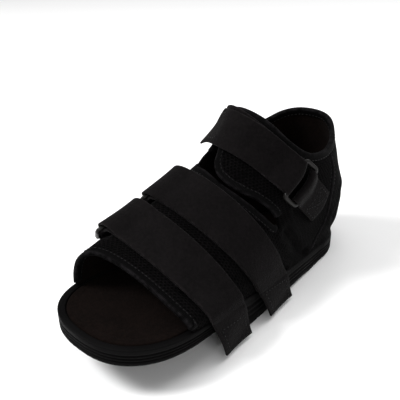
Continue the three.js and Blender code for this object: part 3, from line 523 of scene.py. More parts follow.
def ribbon(centres, half, bend=0.0):
    """A woven band with round edges, from rows of centres across and along it and half its thickness."""
    across = np.gradient(centres, axis=0)
    facing = facings(centres)
    across /= np.linalg.norm(across, axis=-1, keepdims=True)
    rows = len(centres)
    crown = bend * (1 - np.linspace(-1, 1, rows) ** 2)[:, None, None]
    body = centres + facing * crown
    half = np.broadcast_to(half, centres.shape[1:2])[None, :, None]
    top, under = body + facing * half, body - facing * half
    round_edge = []
    for side, row in ((1, rows - 1), (-1, 0)):
        steps = np.linspace(0, np.pi, 6)[1:-1]
        steps = steps if side == 1 else steps[::-1] + np.pi
        for angle in steps:
            lift, out = np.cos(angle), abs(np.sin(angle))
            round_edge.append(body[row] + facing[row] * half[0] * lift + across[row] * half[0] * side * out)
    loop = np.concatenate([top, round_edge[:4], under[::-1], round_edge[4:][::-1], top[:1]])
    width = np.linalg.norm(centres[-1, 0] - centres[0, 0])
    length = running_length(centres[rows // 2])
    shares = np.concatenate([np.linspace(0, 1, rows), np.linspace(1, 1.04, 4), np.linspace(1, 0, rows),
                             np.linspace(0, -0.04, 4), [0]])
    uv = np.stack(np.broadcast_arrays(shares[:, None] * width, length[None, :]), axis=-1)
    return grid(loop, uv, wrap=True, caps=True)


def cord(points, section):
    """A solid along points: section gives each station's ring as an array of stations, ring and three."""
    ring = np.concatenate([section, section[:, :1]], axis=1)
    around = np.linspace(0, CORD_GIRTH, ring.shape[1])
    uv = np.stack(np.broadcast_arrays(around[None, :], running_length(points)[:, None]), axis=-1)
    return grid(ring, uv, wrap=True, caps=True)


def add_stitches(made, points, facing, sizes):
    """Lays one stitch after another along a line, each a small seed of thread."""
    length = running_length(points)
    count = max(1, int(length[-1] / (sizes.stitch_length + sizes.stitch_gap)))
    shape = Matrix.Diagonal((sizes.stitch_length / 2, sizes.thread / 2 * STITCH_FLATNESS, sizes.thread / 2))

    def at(values, place):
        return np.array([np.interp(place, length, values[:, axis]) for axis in range(3)])

    for k in range(count):
        place = (k + 0.5) * length[-1] / count
        p = at(points, place)
        along = at(points, place + STITCH_LOOK) - p
        if np.linalg.norm(along) < 1e-7:
            continue
        along = unit(along)
        n = at(facing, place)
        n = unit(n - along * (n @ along))
        turn = Matrix((along, np.cross(n, along), n)).transposed()
        matrix = Matrix.Translation(Vector(p)) @ (turn @ shape).to_4x4()
        bmesh.ops.create_icosphere(made, subdivisions=1, radius=1, matrix=matrix)


def seam_box(low, high, ends, crossed=False):
    """Corners of a sewn box between two shares across and two places along, with a cross where asked."""
    box = [(low, ends[0]), (high, ends[0]), (high, ends[1]), (low, ends[1]), (low, ends[0])]
    return box + [(high, ends[1]), (high, ends[0]), (low, ends[1])] if crossed else box


def on_sheet(points, across, along):
    """Places on a sheet of points, by shares from 0 to 1 across and along it."""
    i, j = across * (points.shape[0] - 1), along * (points.shape[1] - 1)
    a = np.clip(np.floor(i).astype(int), 0, points.shape[0] - 2)
    b = np.clip(np.floor(j).astype(int), 0, points.shape[1] - 2)
    f, g = (i - a)[:, None], (j - b)[:, None]
    return mix(mix(points[a, b], points[a + 1, b], f), mix(points[a, b + 1], points[a + 1, b + 1], f), g)


def share_at(points, length):
    """Share along a sheet at a length from its start, or from its end where the length is negative."""
    far = running_length(points[len(points) // 2])
    place = length if length >= 0 else far[-1] + length
    return float(np.interp(place, far, np.linspace(0, 1, len(far))))


def stitch_path(thread, sheet, corners, lift, sizes):
    """Stitches on a sheet from corner to corner, each a share across and a share along."""
    facing = facings(sheet) * (1 if lift >= 0 else -1)
    for a, b in zip(corners[:-1], corners[1:]):
        steps = np.linspace(0, 1, 16)
        across, along = mix(a[0], b[0], steps), mix(a[1], b[1], steps)
        n = on_sheet(facing, across, along)
        n /= np.linalg.norm(n, axis=1, keepdims=True)
        add_stitches(thread, on_sheet(sheet, across, along) + n * abs(lift), n, sizes)


# Settings


def size_setting(name, description, default):
    """A length that a user would change."""
    return bpy.props.FloatProperty(name=name, description=description, default=default, unit="LENGTH")


def colour_setting(name, description, default):
    """A colour that a user would change."""
    return bpy.props.FloatVectorProperty(name=name, description=description, default=default, subtype="COLOR")


class ShoeSizes(bpy.types.PropertyGroup):
    """Sizes that a user would change."""

    strap_layer: size_setting("Strap layer", "Thickness of one layer of strap", 0.0019)
    tab_layer: size_setting("Tab layer", "Thickness of one layer of ring tab", 0.00095)
    stitch_length: size_setting("Stitch", "Length of one stitch", 0.0024)
    stitch_gap: size_setting("Stitch gap", "Room between two stitches", 0.0009)
    thread: size_setting("Thread", "Thickness of the thread", 0.0006)
    mesh_pitch: size_setting("Mesh pitch", "Distance between two holes of the mesh", 0.0034)
    bulge: size_setting("Bulge", "How far the padding swells between the straps", 0.0011)
    seam_depth: size_setting("Seam depth", "How far a sewn edge pulls the padding in", 0.0007)
    patch_length: size_setting("Hook patch", "Length of the hook patch below a hanging end", 0.024)
    flap_patch_length: size_setting(
        "Ankle hook patch", "Length of the patch below the ankle strap's end", 0.015)
    tread_depth: size_setting("Tread depth", "Depth of the grooves across the tread", 0.0016)
    rib_depth: size_setting("Rib depth", "Depth of the lines round the side wall", 0.0008)


class ShoeColours(bpy.types.PropertyGroup):
    """Colours that a user would change."""

    rubber: colour_setting("Rubber", "Foam rubber of the sole", (0.0018, 0.0016, 0.0017))
    lining: colour_setting("Lining", "Brushed cloth of footbed and lining", (0.0040, 0.0024, 0.0020))
    mesh: colour_setting("Mesh", "Spacer mesh of the upper", (0.0013, 0.0011, 0.0012))
    # Painted shade: the dark painted into the mesh's holes.
    shaded_hole: colour_setting("Mesh holes", "Dark of the mesh's holes", (0.0005, 0.0005, 0.0005))
    webbing: colour_setting("Webbing", "Loop cloth of the straps", (0.0043, 0.0036, 0.0038))
    tape: colour_setting("Tape", "Binding tape", (0.0011, 0.0010, 0.0011))
    thread: colour_setting("Thread", "Sewing thread", (0.0056, 0.0052, 0.0053))
    plastic: colour_setting("Plastic", "Rings", (0.010, 0.0094, 0.009))
    floor: colour_setting("Floor", "Pale floor", (0.93, 0.93, 0.93))


# Shader groups


class Nodes:
    """Adds shader nodes and links them."""

    def __init__(self, tree):
        self.tree = tree

    def add(self, kind, inputs=None, **values):
        """One node with its settings and inputs; an input that is a socket is linked."""
        node = self.tree.nodes.new(kind)
        for key, value in values.items():
            setattr(node, key, value)
        for key, value in (inputs or {}).items():
            if isinstance(value, bpy.types.NodeSocket):
                self.tree.links.new(value, node.inputs[key])
            else:
                node.inputs[key].default_value = value
        return node

    def math(self, operation, a, b=0.0, clamp=False):
        """One math node's value."""
        return self.add("ShaderNodeMath", {0: a, 1: b}, operation=operation, use_clamp=clamp).outputs[0]

    def ramp(self, value, low, high, to_low=0.0, to_high=1.0):
        """A value carried from one range to another."""
        inputs = {"Value": value, "From Min": low, "From Max": high, "To Min": to_low, "To Max": to_high}
        return self.add("ShaderNodeMapRange", inputs, interpolation_type="SMOOTHSTEP").outputs["Result"]

    def noise(self, place, scale, detail, roughness=0.5):
        """One noise texture's value."""
        inputs = {"Vector": place, "Scale": scale, "Detail": detail, "Roughness": roughness}
        return self.add("ShaderNodeTexNoise", inputs).outputs[0]

    def cells(self, place, scale, randomness=1.0):
        """Distance from the middle of each cell of a pattern."""
        inputs = {"Vector": place, "Scale": scale, "Randomness": randomness}
        return self.add("ShaderNodeTexVoronoi", inputs).outputs["Distance"]

    def waves(self, place, scale, distortion, direction, detail=2.0):
        """Evenly spaced bands."""
        inputs = {"Vector": place, "Scale": scale, "Distortion": distortion, "Detail": detail}
        made = self.add("ShaderNodeTexWave", inputs, wave_type="BANDS", bands_direction=direction)
        return made.outputs["Fac"]

    def parts(self, vector):
        """A vector's three numbers."""
        return self.add("ShaderNodeSeparateXYZ", {0: vector}).outputs

    def blend(self, share, a, b):
        """Two colours mixed by a share."""
        made = self.add("ShaderNodeMix", {"Factor": share, "A": a, "B": b}, data_type="RGBA")
        return made.outputs["Result"]

    def link(self, value, socket):
        """Links a value to a socket."""
        self.tree.links.new(value, socket)


def new_group(name, inputs, outputs):
    """An empty shader group with named sockets: inputs are (name, kind, default), outputs are floats."""
    tree = bpy.data.node_groups.new(name, "ShaderNodeTree")
    for socket, kind, default in inputs:
        made = tree.interface.new_socket(socket, in_out="INPUT", socket_type=kind)
        if default is not None:
            made.default_value = default
    for socket in outputs:
        tree.interface.new_socket(socket, in_out="OUTPUT", socket_type="NodeSocketFloat")
    nodes = Nodes(tree)
    return nodes, nodes.add("NodeGroupInput").outputs, nodes.add("NodeGroupOutput").inputs


def mesh_holes():
    """Rows of staggered holes in a knitted mesh, by the piece's own UV map."""
    nodes, given, out = new_group("mesh_holes", [
        ("UV", "NodeSocketVector", None), ("Pitch", "NodeSocketFloat", 0.0034),
        ("Size", "NodeSocketFloat", 0.3)], ("ShadedHole", "StrandHighlight", "Height"))
    uv = nodes.parts(given["UV"])
    wander = nodes.noise(given["UV"], 90, 1)
    shift = nodes.math("MULTIPLY", nodes.math("SUBTRACT", wander, 0.5), 0.5)
    across = nodes.math("ADD", nodes.math("DIVIDE", uv[0], given["Pitch"]), shift)
    along = nodes.math("DIVIDE", uv[1], nodes.math("MULTIPLY", given["Pitch"], 0.62))
    along = nodes.math("ADD", along, shift)
    row = nodes.math("FLOOR", along)
    across = nodes.math("ADD", across, nodes.math("MULTIPLY", row, 0.5))
    x = nodes.math("SUBTRACT", nodes.math("FRACT", across), 0.5)
    y = nodes.math("MULTIPLY", nodes.math("SUBTRACT", nodes.math("FRACT", along), 0.5), 0.75)
    far = nodes.math("SQRT", nodes.math("ADD", nodes.math("MULTIPLY", x, x), nodes.math("MULTIPLY", y, y)))
    # Mask of the holes: the mesh paints them dark as painted shade, and the bump sinks them.
    shaded_hole = nodes.ramp(far, nodes.math("MULTIPLY", given["Size"], 0.6), given["Size"], 1.0, 0.0)
    yarn = nodes.waves(given["UV"], 420, 1.5, "DIAGONAL", 1)
    nodes.link(shaded_hole, out["ShadedHole"])
    # Mask of the raised strands between the holes, where the mesh gets a painted highlight.
    nodes.link(nodes.ramp(far, 0.38, 0.56), out["StrandHighlight"])
    nodes.link(nodes.math("SUBTRACT", nodes.math("MULTIPLY", yarn, 0.25), shaded_hole), out["Height"])
    return nodes.tree


def cloth_weave():
    """A fine plain weave with uneven threads, by the piece's own UV map."""
    nodes, given, out = new_group("cloth_weave", [
        ("UV", "NodeSocketVector", None), ("Thread", "NodeSocketFloat", 0.0006)], ("Height", "Shade"))
    uv = nodes.parts(given["UV"])
    turns = nodes.math("DIVIDE", math.pi, given["Thread"])
    warp = nodes.math("SINE", nodes.math("MULTIPLY", uv[0], turns))
    weft = nodes.math("SINE", nodes.math("MULTIPLY", uv[1], turns))
    weave = nodes.math("MULTIPLY", nodes.math("MULTIPLY", warp, weft), 0.5)
    height = nodes.math("ADD", weave, nodes.noise(given["UV"], 700, 3))
    nodes.link(height, out["Height"])
    nodes.link(nodes.ramp(height, -0.1, 1.1), out["Shade"])
    return nodes.tree


def nap():
    """Brushed nap: fine fuzz, laid patches and a slow drift of shade, by the object's coordinates."""
    nodes, given, out = new_group("nap", [
        ("Position", "NodeSocketVector", None), ("Fuzz", "NodeSocketFloat", 2600.0),
        ("Patch", "NodeSocketFloat", 55.0)], ("Height", "Shade"))
    fuzz = nodes.noise(given["Position"], given["Fuzz"], 4, 0.7)
    patch = nodes.noise(given["Position"], given["Patch"], 3, 0.6)
    brushed = nodes.noise(given["Position"], 430, 2, 0.6)
    fine = nodes.math("ADD", nodes.math("MULTIPLY", fuzz, 0.3), nodes.math("MULTIPLY", brushed, 0.4))
    shade = nodes.math("ADD", fine, nodes.math("MULTIPLY", patch, 0.3))
    nodes.link(nodes.math("ADD", fuzz, nodes.math("MULTIPLY", brushed, 1.5)), out["Height"])
    nodes.link(nodes.ramp(shade, 0.36, 0.64), out["Shade"])
    return nodes.tree


def rubbed_edge_and_highlight():
    """Pale edges from the surface's own pointiness, broken up by noise: partly rubbed wear, partly a painted
    highlight where the edges catch the light.
    """
    nodes, given, out = new_group("rubbed_edge_and_highlight", [
        ("Position", "NodeSocketVector", None), ("Pointiness", "NodeSocketFloat", 0.5),
        ("From", "NodeSocketFloat", 0.52), ("To", "NodeSocketFloat", 0.6)], ("WearAndHighlight",))
    broken = nodes.ramp(nodes.noise(given["Position"], 240, 4), 0.35, 0.65)
    edge = nodes.ramp(given["Pointiness"], given["From"], given["To"])
    # The pale edge mask: rubbed wear and a painted highlight on the convex edges.
    nodes.link(nodes.math("MULTIPLY", edge, broken, clamp=True), out["WearAndHighlight"])
    return nodes.tree


GROUPS = {made.__name__: made for made in (mesh_holes, cloth_weave, nap, rubbed_edge_and_highlight)}


# Finishes


def strong(colour, strength):
    """A colour made stronger or weaker."""
    return (*(c * strength for c in colour), 1)


class Finish(Nodes):
    """The nodes of a material round its Principled shader; surface sets the shader's own sockets by name."""

    def __init__(self, name, colour, roughness, **surface):
        self.material = bpy.data.materials.new(name)
        self.material.use_nodes = True
        super().__init__(self.material.node_tree)
        self.shader = self.tree.nodes["Principled BSDF"].inputs
        self.shader["Base Color"].default_value = strong(colour, 1)
        self.shader["Roughness"].default_value = roughness
        for key, value in surface.items():
            self.shader[key.replace("_", " ")].default_value = value
        self.colour = colour
        place = self.add("ShaderNodeTexCoord").outputs
        self.position = place["Object"]
        self.uv = place["UV"]
        self.normal = None

    def group(self, name, **inputs):
        """Places a shader group, which is made on first use."""
        tree = bpy.data.node_groups.get(name) or GROUPS[name]()
        return self.add("ShaderNodeGroup", inputs, node_tree=tree).outputs

    def edge_wear_and_highlight(self, low, high):
        """Where the surface's edges are paled: rubbed wear together with a painted highlight along them."""
        point = self.add("ShaderNodeNewGeometry").outputs["Pointiness"]
        wear_and_highlight = self.group("rubbed_edge_and_highlight", Position=self.position, Pointiness=point, From=low, To=high)["WearAndHighlight"]
        return self.math("MULTIPLY", wear_and_highlight, 0.6)

    def paint(self, colour):
        """Links a base colour."""
        self.link(colour, self.shader["Base Color"])

    def tone(self, shade, dark, light):
        """Varies the base colour between two strengths of itself by a shade from 0 to 1."""
        colour = self.blend(shade, strong(self.colour, dark), strong(self.colour, light))
        self.paint(colour)
        return colour

    def relief(self, height, distance, strength):
        """Adds a bump, on top of those before it."""
        inputs = {"Height": height, "Distance": distance, "Strength": strength}
        if self.normal is not None:
            inputs["Normal"] = self.normal
        self.normal = self.add("ShaderNodeBump", inputs).outputs["Normal"]
        self.link(self.normal, self.shader["Normal"])


def foam_rubber(name, colours, sizes):
    """Matt foam rubber with pores, grain, a slow drift and fine studs underneath."""
    made = Finish(name, colours.rubber, 0.6, Specular_IOR_Level=0.055)
    drift = made.noise(made.position, 26, 5)
    made.tone(made.ramp(drift, 0.35, 0.65), 0.75, 1.5)
    made.link(made.ramp(drift, 0.3, 0.7, 0.5, 0.72), made.shader["Roughness"])
    facing = made.parts(made.add("ShaderNodeNewGeometry").outputs["Normal"])
    under = made.ramp(facing[2], -0.95, -0.85, 1.0, 0.0)
    stud = made.ramp(made.cells(made.position, 260, 0), 0.35, 0.6, 1.0, 0.0)
    made.relief(made.math("MULTIPLY", stud, under), 0.0006, 0.8)
    made.relief(made.cells(made.position, 620), 0.00025, 0.5)
    made.relief(made.noise(made.position, 900, 4), 0.0002, 0.6)
    return made


def brushed_lining(name, colours, sizes):
    """Brushed cloth of footbed and lining."""
    made = Finish(name, colours.lining, 0.9, Specular_IOR_Level=0.02, Sheen_Weight=0.012, Sheen_Roughness=0.5)
    fuzz = made.group("nap", Position=made.position, Fuzz=1500, Patch=38)
    threads = made.group("cloth_weave", UV=made.uv, Thread=0.0008)
    made.tone(fuzz["Shade"], 0.7, 1.55)
    made.relief(threads["Height"], 0.00018, 0.6)
    made.relief(fuzz["Height"], 0.0003, 0.7)
    return made


def spacer_mesh(name, colours, sizes):
    """Knitted mesh whose holes are painted dark as painted shade and whose strands between them are painted
    paler as a painted highlight.
    """
    made = Finish(name, colours.mesh, 0.75, Specular_IOR_Level=0.02, Sheen_Weight=0.01, Sheen_Roughness=0.45)
    knit = made.group("mesh_holes", UV=made.uv, Pitch=sizes.mesh_pitch, Size=0.34)
    fuzz = made.group("nap", Position=made.position, Fuzz=1700, Patch=60)
    ground = made.tone(fuzz["Shade"], 0.4, 1.9)
    strand_highlight = made.math("MULTIPLY", knit["StrandHighlight"], made.ramp(fuzz["Shade"], 0.1, 0.8, 0.2, 0.75))
    # Painted highlight: the strands at five times the mesh's colour.
    highlighted_yarn = made.blend(strand_highlight, ground, strong(colours.mesh, 5))
    # Painted shade: the holes get the dark hole colour.
    made.paint(made.blend(knit["ShadedHole"], highlighted_yarn, strong(colours.shaded_hole, 1)))
    made.relief(knit["Height"], 0.0009, 0.9)
    made.relief(fuzz["Height"], 0.0002, 0.5)
    return made


def loop_webbing(name, colours, sizes):
    """Brushed loop cloth over a woven band, pale along its edges: partly rubbed wear and partly a painted
    highlight.
    """
    made = Finish(name, colours.webbing, 0.8, Specular_IOR_Level=0.04, Sheen_Weight=0.05,
                  Sheen_Roughness=0.38)
    fuzz = made.group("nap", Position=made.position, Fuzz=2300, Patch=46)
    threads = made.group("cloth_weave", UV=made.uv, Thread=0.0007)
    base = made.tone(fuzz["Shade"], 0.72, 1.5)
    # Pale edges at six times the webbing's colour: rubbed wear and a painted highlight.
    made.paint(made.blend(made.edge_wear_and_highlight(0.52, 0.58), base, strong(colours.webbing, 6)))
    made.relief(threads["Height"], 0.00012, 0.5)
    made.relief(fuzz["Height"], 0.0004, 0.8)
    return made


def binding_tape(name, colours, sizes):
    """Ribbed woven tape, pale along its edges, partly rubbed wear and partly a painted highlight; the
    piping's is paler all over, a painted highlight along the cord together with its wear.
    """
    # The piping's tape is painted three times paler: a painted highlight along the cord together with its
    # rubbed wear.
    piping_wear_and_highlight_gain = 3.0 if name == "piping_tape" else 1.0
    made = Finish(name, colours.tape, 0.6, Specular_IOR_Level=0.03, Sheen_Weight=0.01, Sheen_Roughness=0.4)
    threads = made.group("cloth_weave", UV=made.uv, Thread=0.00065)
    rib = made.math("SINE", made.math("MULTIPLY", made.parts(made.uv)[1], 2 * math.pi / 0.0011))
    base = made.tone(threads["Shade"], 0.7 * piping_wear_and_highlight_gain, 1.6 * piping_wear_and_highlight_gain)
    # Pale edges at fourteen times the tape's colour: rubbed wear and a painted highlight.
    made.paint(made.blend(made.edge_wear_and_highlight(0.51, 0.55), base, strong(colours.tape, 14)))
    made.relief(rib, 0.00022, 0.6)
    made.relief(threads["Height"], 0.00012, 0.5)
    return made


def hook_tape(name, colours, sizes):
    """Rows of small hooks."""
    made = Finish(name, colours.tape, 0.5, Specular_IOR_Level=0.15)
    hooks = made.cells(made.uv, 900, 0.35)
    made.tone(hooks, 0.6, 2.2)
    made.relief(made.waves(made.uv, 230, 0.4, "X"), 0.0002, 0.6)
    made.relief(hooks, 0.0005, 0.9)
    return made


def sewing_thread(name, colours, sizes):
    """Twisted thread."""
    made = Finish(name, colours.thread, 0.45, Specular_IOR_Level=0.2)
    twist = made.waves(made.position, 1900, 2, "DIAGONAL")
    made.relief(twist, 0.0001, 0.7)
    made.tone(twist, 0.7, 1.4)
    return made


def ring_plastic(name, colours, sizes):
    """Moulded plastic with a faint flow in its gloss."""
    made = Finish(name, colours.plastic, 0.42, Specular_IOR_Level=0.22, Coat_Weight=0.03)
    flow = made.noise(made.position, 420, 3)
    made.tone(made.ramp(flow, 0.3, 0.7), 0.85, 1.1)
    made.link(made.ramp(flow, 0.3, 0.7, 0.28, 0.45), made.shader["Roughness"])
    made.relief(flow, 0.0001, 0.4)
    return made


def studio_floor(name, colours, sizes):
    """Plain pale floor."""
    made = Finish(name, colours.floor, 0.85)
    made.tone(made.noise(made.position, 3, 2), 0.99, 1.01)
    return made


FINISHES = {made.__name__: made for made in (
    foam_rubber, brushed_lining, spacer_mesh, loop_webbing, binding_tape, hook_tape, sewing_thread,
    ring_plastic, studio_floor)}
FINISHES["piping_tape"] = binding_tape


def finish(name):
    """A finish by name, made on first use."""
    scene = bpy.context.scene
    ready = bpy.data.materials.get(name)
    return ready or FINISHES[name](name, scene.shoe_colours, scene.shoe_sizes).material


# Pieces


class SHOE_OT_outsole(bpy.types.Operator):
    """Foam rubber wedge with a ribbed side wall, a rim and a grooved tread"""

    bl_idname = "shoe.outsole"
    bl_label = "Outsole"

    def execute(self, context):
        sizes = context.scene.shoe_sizes
        quarter = np.linspace(0, math.pi / 2, 5)
        levels = [(0, FOOT_ROUND * (1 - math.sin(a)), FOOT_ROUND * (1 - math.cos(a))) for a in quarter]
        for middle in RIB_PLACES:
            levels += [(middle + shift, depth * sizes.rib_depth, 0) for shift, depth in RIB_SHAPE]
        levels += [(0.8, 0, 0), (0.9, 0, 0)]
        levels += [(1, RIM_ROUND * (1 - math.cos(a)), RIM_ROUND * (math.sin(a) - 1)) for a in quarter]
        levels += [(1, inset, over) for inset, over in RIM_LIP]
        rings = outline_rings(np.arange(OUTSOLE_SIDES + 1) / OUTSOLE_SIDES, levels)
        made = ring_wall(rings, rings[-4])
        for ring in (rings[0], rings[-1]):
            rows = across_ring(ring, np.linspace(0, 1, OUTSOLE_ACROSS))
            join(made, grid(rows, rows[..., :2]))
        close_up(made)
        piece = finish_piece("outsole_rubber", made, finish("foam_rubber"), ["outsole"])
        cutter = bmesh.new()
        bar = Matrix.Diagonal((SOLE_LENGTH, GROOVE_WIDTH, sizes.tread_depth * 2, 1))
        for y in np.arange(FLAT_FRONT + TREAD_PITCH / 2, HALF_LENGTH - TREAD_PITCH, TREAD_PITCH):
            bmesh.ops.create_cube(cutter, size=1, matrix=Matrix.Translation((0, y, 0)) @ bar)
        mesh = bpy.data.meshes.new("tread_cutter")
        cutter.to_mesh(mesh)
        cutter.free()
        tool = bpy.data.objects.new("tread_cutter", mesh)
        context.scene.collection.objects.link(tool)
        through(piece, "BOOLEAN", object=tool, operation="DIFFERENCE", solver="EXACT")
        bpy.data.objects.remove(tool)
        return {"FINISHED"}


class SHOE_OT_footbed(bpy.types.Operator):
    """Cloth covered foam pad that lies in the outsole's recess"""

    bl_idname = "shoe.footbed"
    bl_label = "Footbed"

    def execute(self, context):
        edge = GROOVE_INSET + FIT
        levels = [(1, edge, FIT - FOOTBED_THICK), (1, edge, -0.0026)]
        levels += [(1, edge + PAD_ROUND * (1 - math.cos(a)), PAD_ROUND * (math.sin(a) - 1))
                   for a in np.linspace(0, math.pi / 2, 6)]
        rings = outline_rings(np.arange(FOOTBED_SIDES + 1) / FOOTBED_SIDES, levels)
        made = ring_wall(rings, rings[1])
        rows = across_ring(rings[-1], (1 - np.cos(np.linspace(0, np.pi, FOOTBED_ACROSS))) / 2)
        inside = 1 - sole_gauge(rows[..., 0], rows[..., 1], edge + PAD_ROUND)
        dish = -0.0011 * smooth(inside / 0.5)
        toes = 0.0006 * np.exp(-((rows[..., 1] + 0.062) / 0.016) ** 2) * smooth(inside / 0.5)
        line = -0.0003 * np.exp(-((inside - 0.11) / 0.02) ** 2)
        rows[..., 2] += dish + toes + line
        join(made, grid(rows, rows[..., :2]))
        close_up(made)
        piece = finish_piece("footbed_pad", made, finish("brushed_lining"), ["footbed"])
        return {"FINISHED"}


def edge_lines():
    """The upper's bound edges as rows and turns on the last."""
    def on_rim(turn):
        p = skin(toe_row(turn), turn, -WALL / 2)
        return p[..., 2] - rim_height(p[..., 1]) - CORD_RADIUS - 2 * FIT
    ends = [float(solve(on_rim, -0.1, -0.4)), float(solve(on_rim, 0.1, 0.4))]
    toe = np.linspace(ends[0], ends[1], 150)
    front = np.linspace(SLOT_ENDS[0], SLOT_ENDS[1], 120)
    outer = np.linspace(SLOT_ENDS[1] - 0.012, -0.022, 120)
    inner = np.linspace(SLOT_ENDS[0] + 0.006, -0.068, 40)
    collar = np.linspace(SLIT_TURN + 0.02, 1 + SLIT_TURN - 0.02, 220)
    throat = np.linspace(0, 1, 60)
    slit = {}
    for name, side in (("outer", 1), ("inner", -1)):
        turn = np.full(len(throat), SLIT_TURN + side * THROAT_HALF)
        row = mix(table_at(SLOT_REAR, turn) + 0.05, topline_row(turn) - 0.05, throat)
        slit[f"throat_{name}"] = (row, turn, -side)
    return {
        **slit,
        "toe_binding": (toe_row(toe), toe, 1),
        "vamp_binding": (table_at(SLOT_FRONT, front), front, -1),
        "cuff_binding_outer": (table_at(SLOT_REAR, outer), outer, -1),
        "cuff_binding_inner": (table_at(SLOT_REAR, inner), inner, 1),
        "collar_binding": (topline_row(collar), collar, -1),
    }


def piping_line(side):
    """The raised seam on one side of the heel counter."""
    row = np.linspace(PIPING[0, 0], PIPING[-1, 0], 90)
    return row, side * table_at(PIPING, row)


def wall_relief(points, rows, turns, sizes):
    """How far the padded wall stands out from the last at each point."""
    out = np.zeros(len(points))
    for row, turn, _ in edge_lines().values():
        line = skin(row[::4], turn[::4], 0)
        out -= sizes.seam_depth * np.exp(-(nearest(points, line) / 0.0052) ** 2)
    for crease in CREASES:
        at = dict(zip(CREASE_COLUMNS, crease))
        share = np.linspace(0, 1, 8)
        bow = 0.012 * np.sin(share * np.pi)
        line = skin(mix(at["row_a"], at["row_b"], share), mix(at["turn_a"], at["turn_b"], share) + bow, 0)
        far = nearest(points, line)
        out -= at["depth"] * np.exp(-(far / at["width"]) ** 2)
        out += 0.45 * at["depth"] * np.exp(-((far - 2.1 * at["width"]) / at["width"]) ** 2)
    for side in (1, -1):
        line = skin(*piping_line(side), 0)[::5]
        out -= 0.7 * sizes.seam_depth * np.exp(-(nearest(points, line) / 0.0034) ** 2)
    free = np.ones(len(points))
    for band in BANDS.values():
        share = np.abs(points @ band["normal"] - band["middle"]) / band["width"]
        turn = (turns + 0.5) % 1 - 0.5
        ends = sorted((band["start"] + (0.1 if band["tail"] else 0), band["sewn"]))
        near = smooth((turn - ends[0]) / 0.03 + 0.5) * smooth((ends[1] - turn) / 0.03 + 0.5)
        free *= 1 - near * (1 - smooth((share - 0.5) / 0.3))
    low = smooth((points[:, 2] - rim_height(points[:, 1])) / 0.012)
    x, y, z = points.T
    lumps = (np.sin(x * 210 + 1.3) * np.sin(y * 170 + 0.4) * np.sin(z * 190 + 2.2)
             + 0.6 * np.sin(x * 96 + y * 130) * np.sin(z * 110 - y * 70))
    return out + free * low * (0.55 * sizes.bulge + 0.0003 * lumps)


def even_run(across, ends):
    """Evens out, from row to row, the lengths between the heel's middle and each end of the slot."""
    middle = across.shape[1] // 2
    made = across.copy()
    for end in ends:
        length = across[:, end:end + 1]
        within = slice(end, middle) if end < middle else slice(middle, end)
        beyond = slice(0, end) if end < middle else slice(end, None)
        made[:, within] *= length.mean() / length
        made[:, beyond] += length.mean() - length
    return made


class SHOE_OT_upper(bpy.types.Operator):
    """Padded mesh wall, open at the toes, at the instep and at the throat"""

    bl_idname = "shoe.upper"
    bl_label = "Upper"

    def execute(self, context):
        sizes = context.scene.shoe_sizes
        slit = (SLIT_TURN + SLIT_HALF, 1 + SLIT_TURN - SLIT_HALF)
        turns = np.concatenate([
            np.linspace(slit[0], SLOT_ENDS[1], 74), np.linspace(SLOT_ENDS[1], 1 + SLOT_ENDS[0], 186)[1:],
            np.linspace(1 + SLOT_ENDS[0], slit[1], 20)[1:]])
        signed = np.where(turns > 0.5, turns - 1, turns)
        inside = (signed >= SLOT_ENDS[0] - 1e-9) & (signed <= SLOT_ENDS[1] + 1e-9)
        front = np.where(inside, table_at(SLOT_FRONT, signed), SLOT_JOIN)
        rear = np.where(inside, table_at(SLOT_REAR, signed), SLOT_JOIN)
        fore = mix(toe_row(signed)[None], front[None], np.linspace(0, 1, 60)[:, None])
        aft = mix(rear[None], topline_row(turns)[None], np.linspace(0, 1, 84)[:, None])
        whole = None
        for rows, wraps in ((fore, True), (aft, False)):
            columns = np.concatenate([turns, [turns[0] + 1]]) if wraps else turns
            rows = np.concatenate([rows, rows[:, :1]], axis=1) if wraps else rows
            columns = np.broadcast_to(columns, rows.shape)
            flat = skin(rows, columns, 0)
            out = wall_relief(flat.reshape(-1, 3), rows.ravel(), columns.ravel(), sizes).reshape(rows.shape)
            points = flat + skin_normal(rows, columns) * out[..., None]
            across = running_length(flat)
            middle = flat.shape[1] // 2
            across -= across[:, middle:middle + 1]
            along = np.swapaxes(running_length(np.swapaxes(flat, 0, 1)), 0, 1)
            if not wraps:
                along -= along[-1:]
                across = even_run(across, np.flatnonzero(np.diff(inside)) + (0, 1))
            made = grid(points, np.stack([across, along], axis=-1))
            if whole is None:
                whole = made
                continue
            join(whole, made)
        bmesh.ops.remove_doubles(whole, verts=whole.verts, dist=2e-5)
        bmesh.ops.recalc_face_normals(whole, faces=whole.faces)
        heel = max(whole.faces, key=lambda face: face.calc_center_median().y)
        if heel.normal.y < 0:
            bmesh.ops.reverse_faces(whole, faces=whole.faces)
        cloths = [finish("spacer_mesh"), finish("brushed_lining")]
        piece = finish_piece("upper_mesh", whole, cloths, ["upper"])
        through(piece, "SOLIDIFY", thickness=WALL, offset=-1, material_offset=1, use_even_offset=False)
        made = bmesh.new()
        made.from_mesh(piece.data)
        slope = (TOE_TOP - HEEL_TOP) / SOLE_LENGTH
        bmesh.ops.bisect_plane(
            made, geom=made.verts[:] + made.edges[:] + made.faces[:], dist=1e-7, clear_inner=True,
            plane_co=(0, 0, float(rim_height(0)) + FIT), plane_no=(0, slope, 1))
        bmesh.ops.holes_fill(made, edges=made.edges, sides=0)
        made.to_mesh(piece.data)
        made.free()
        piece.data.polygons.foreach_set("use_smooth", [True] * len(piece.data.polygons))
        return {"FINISHED"}


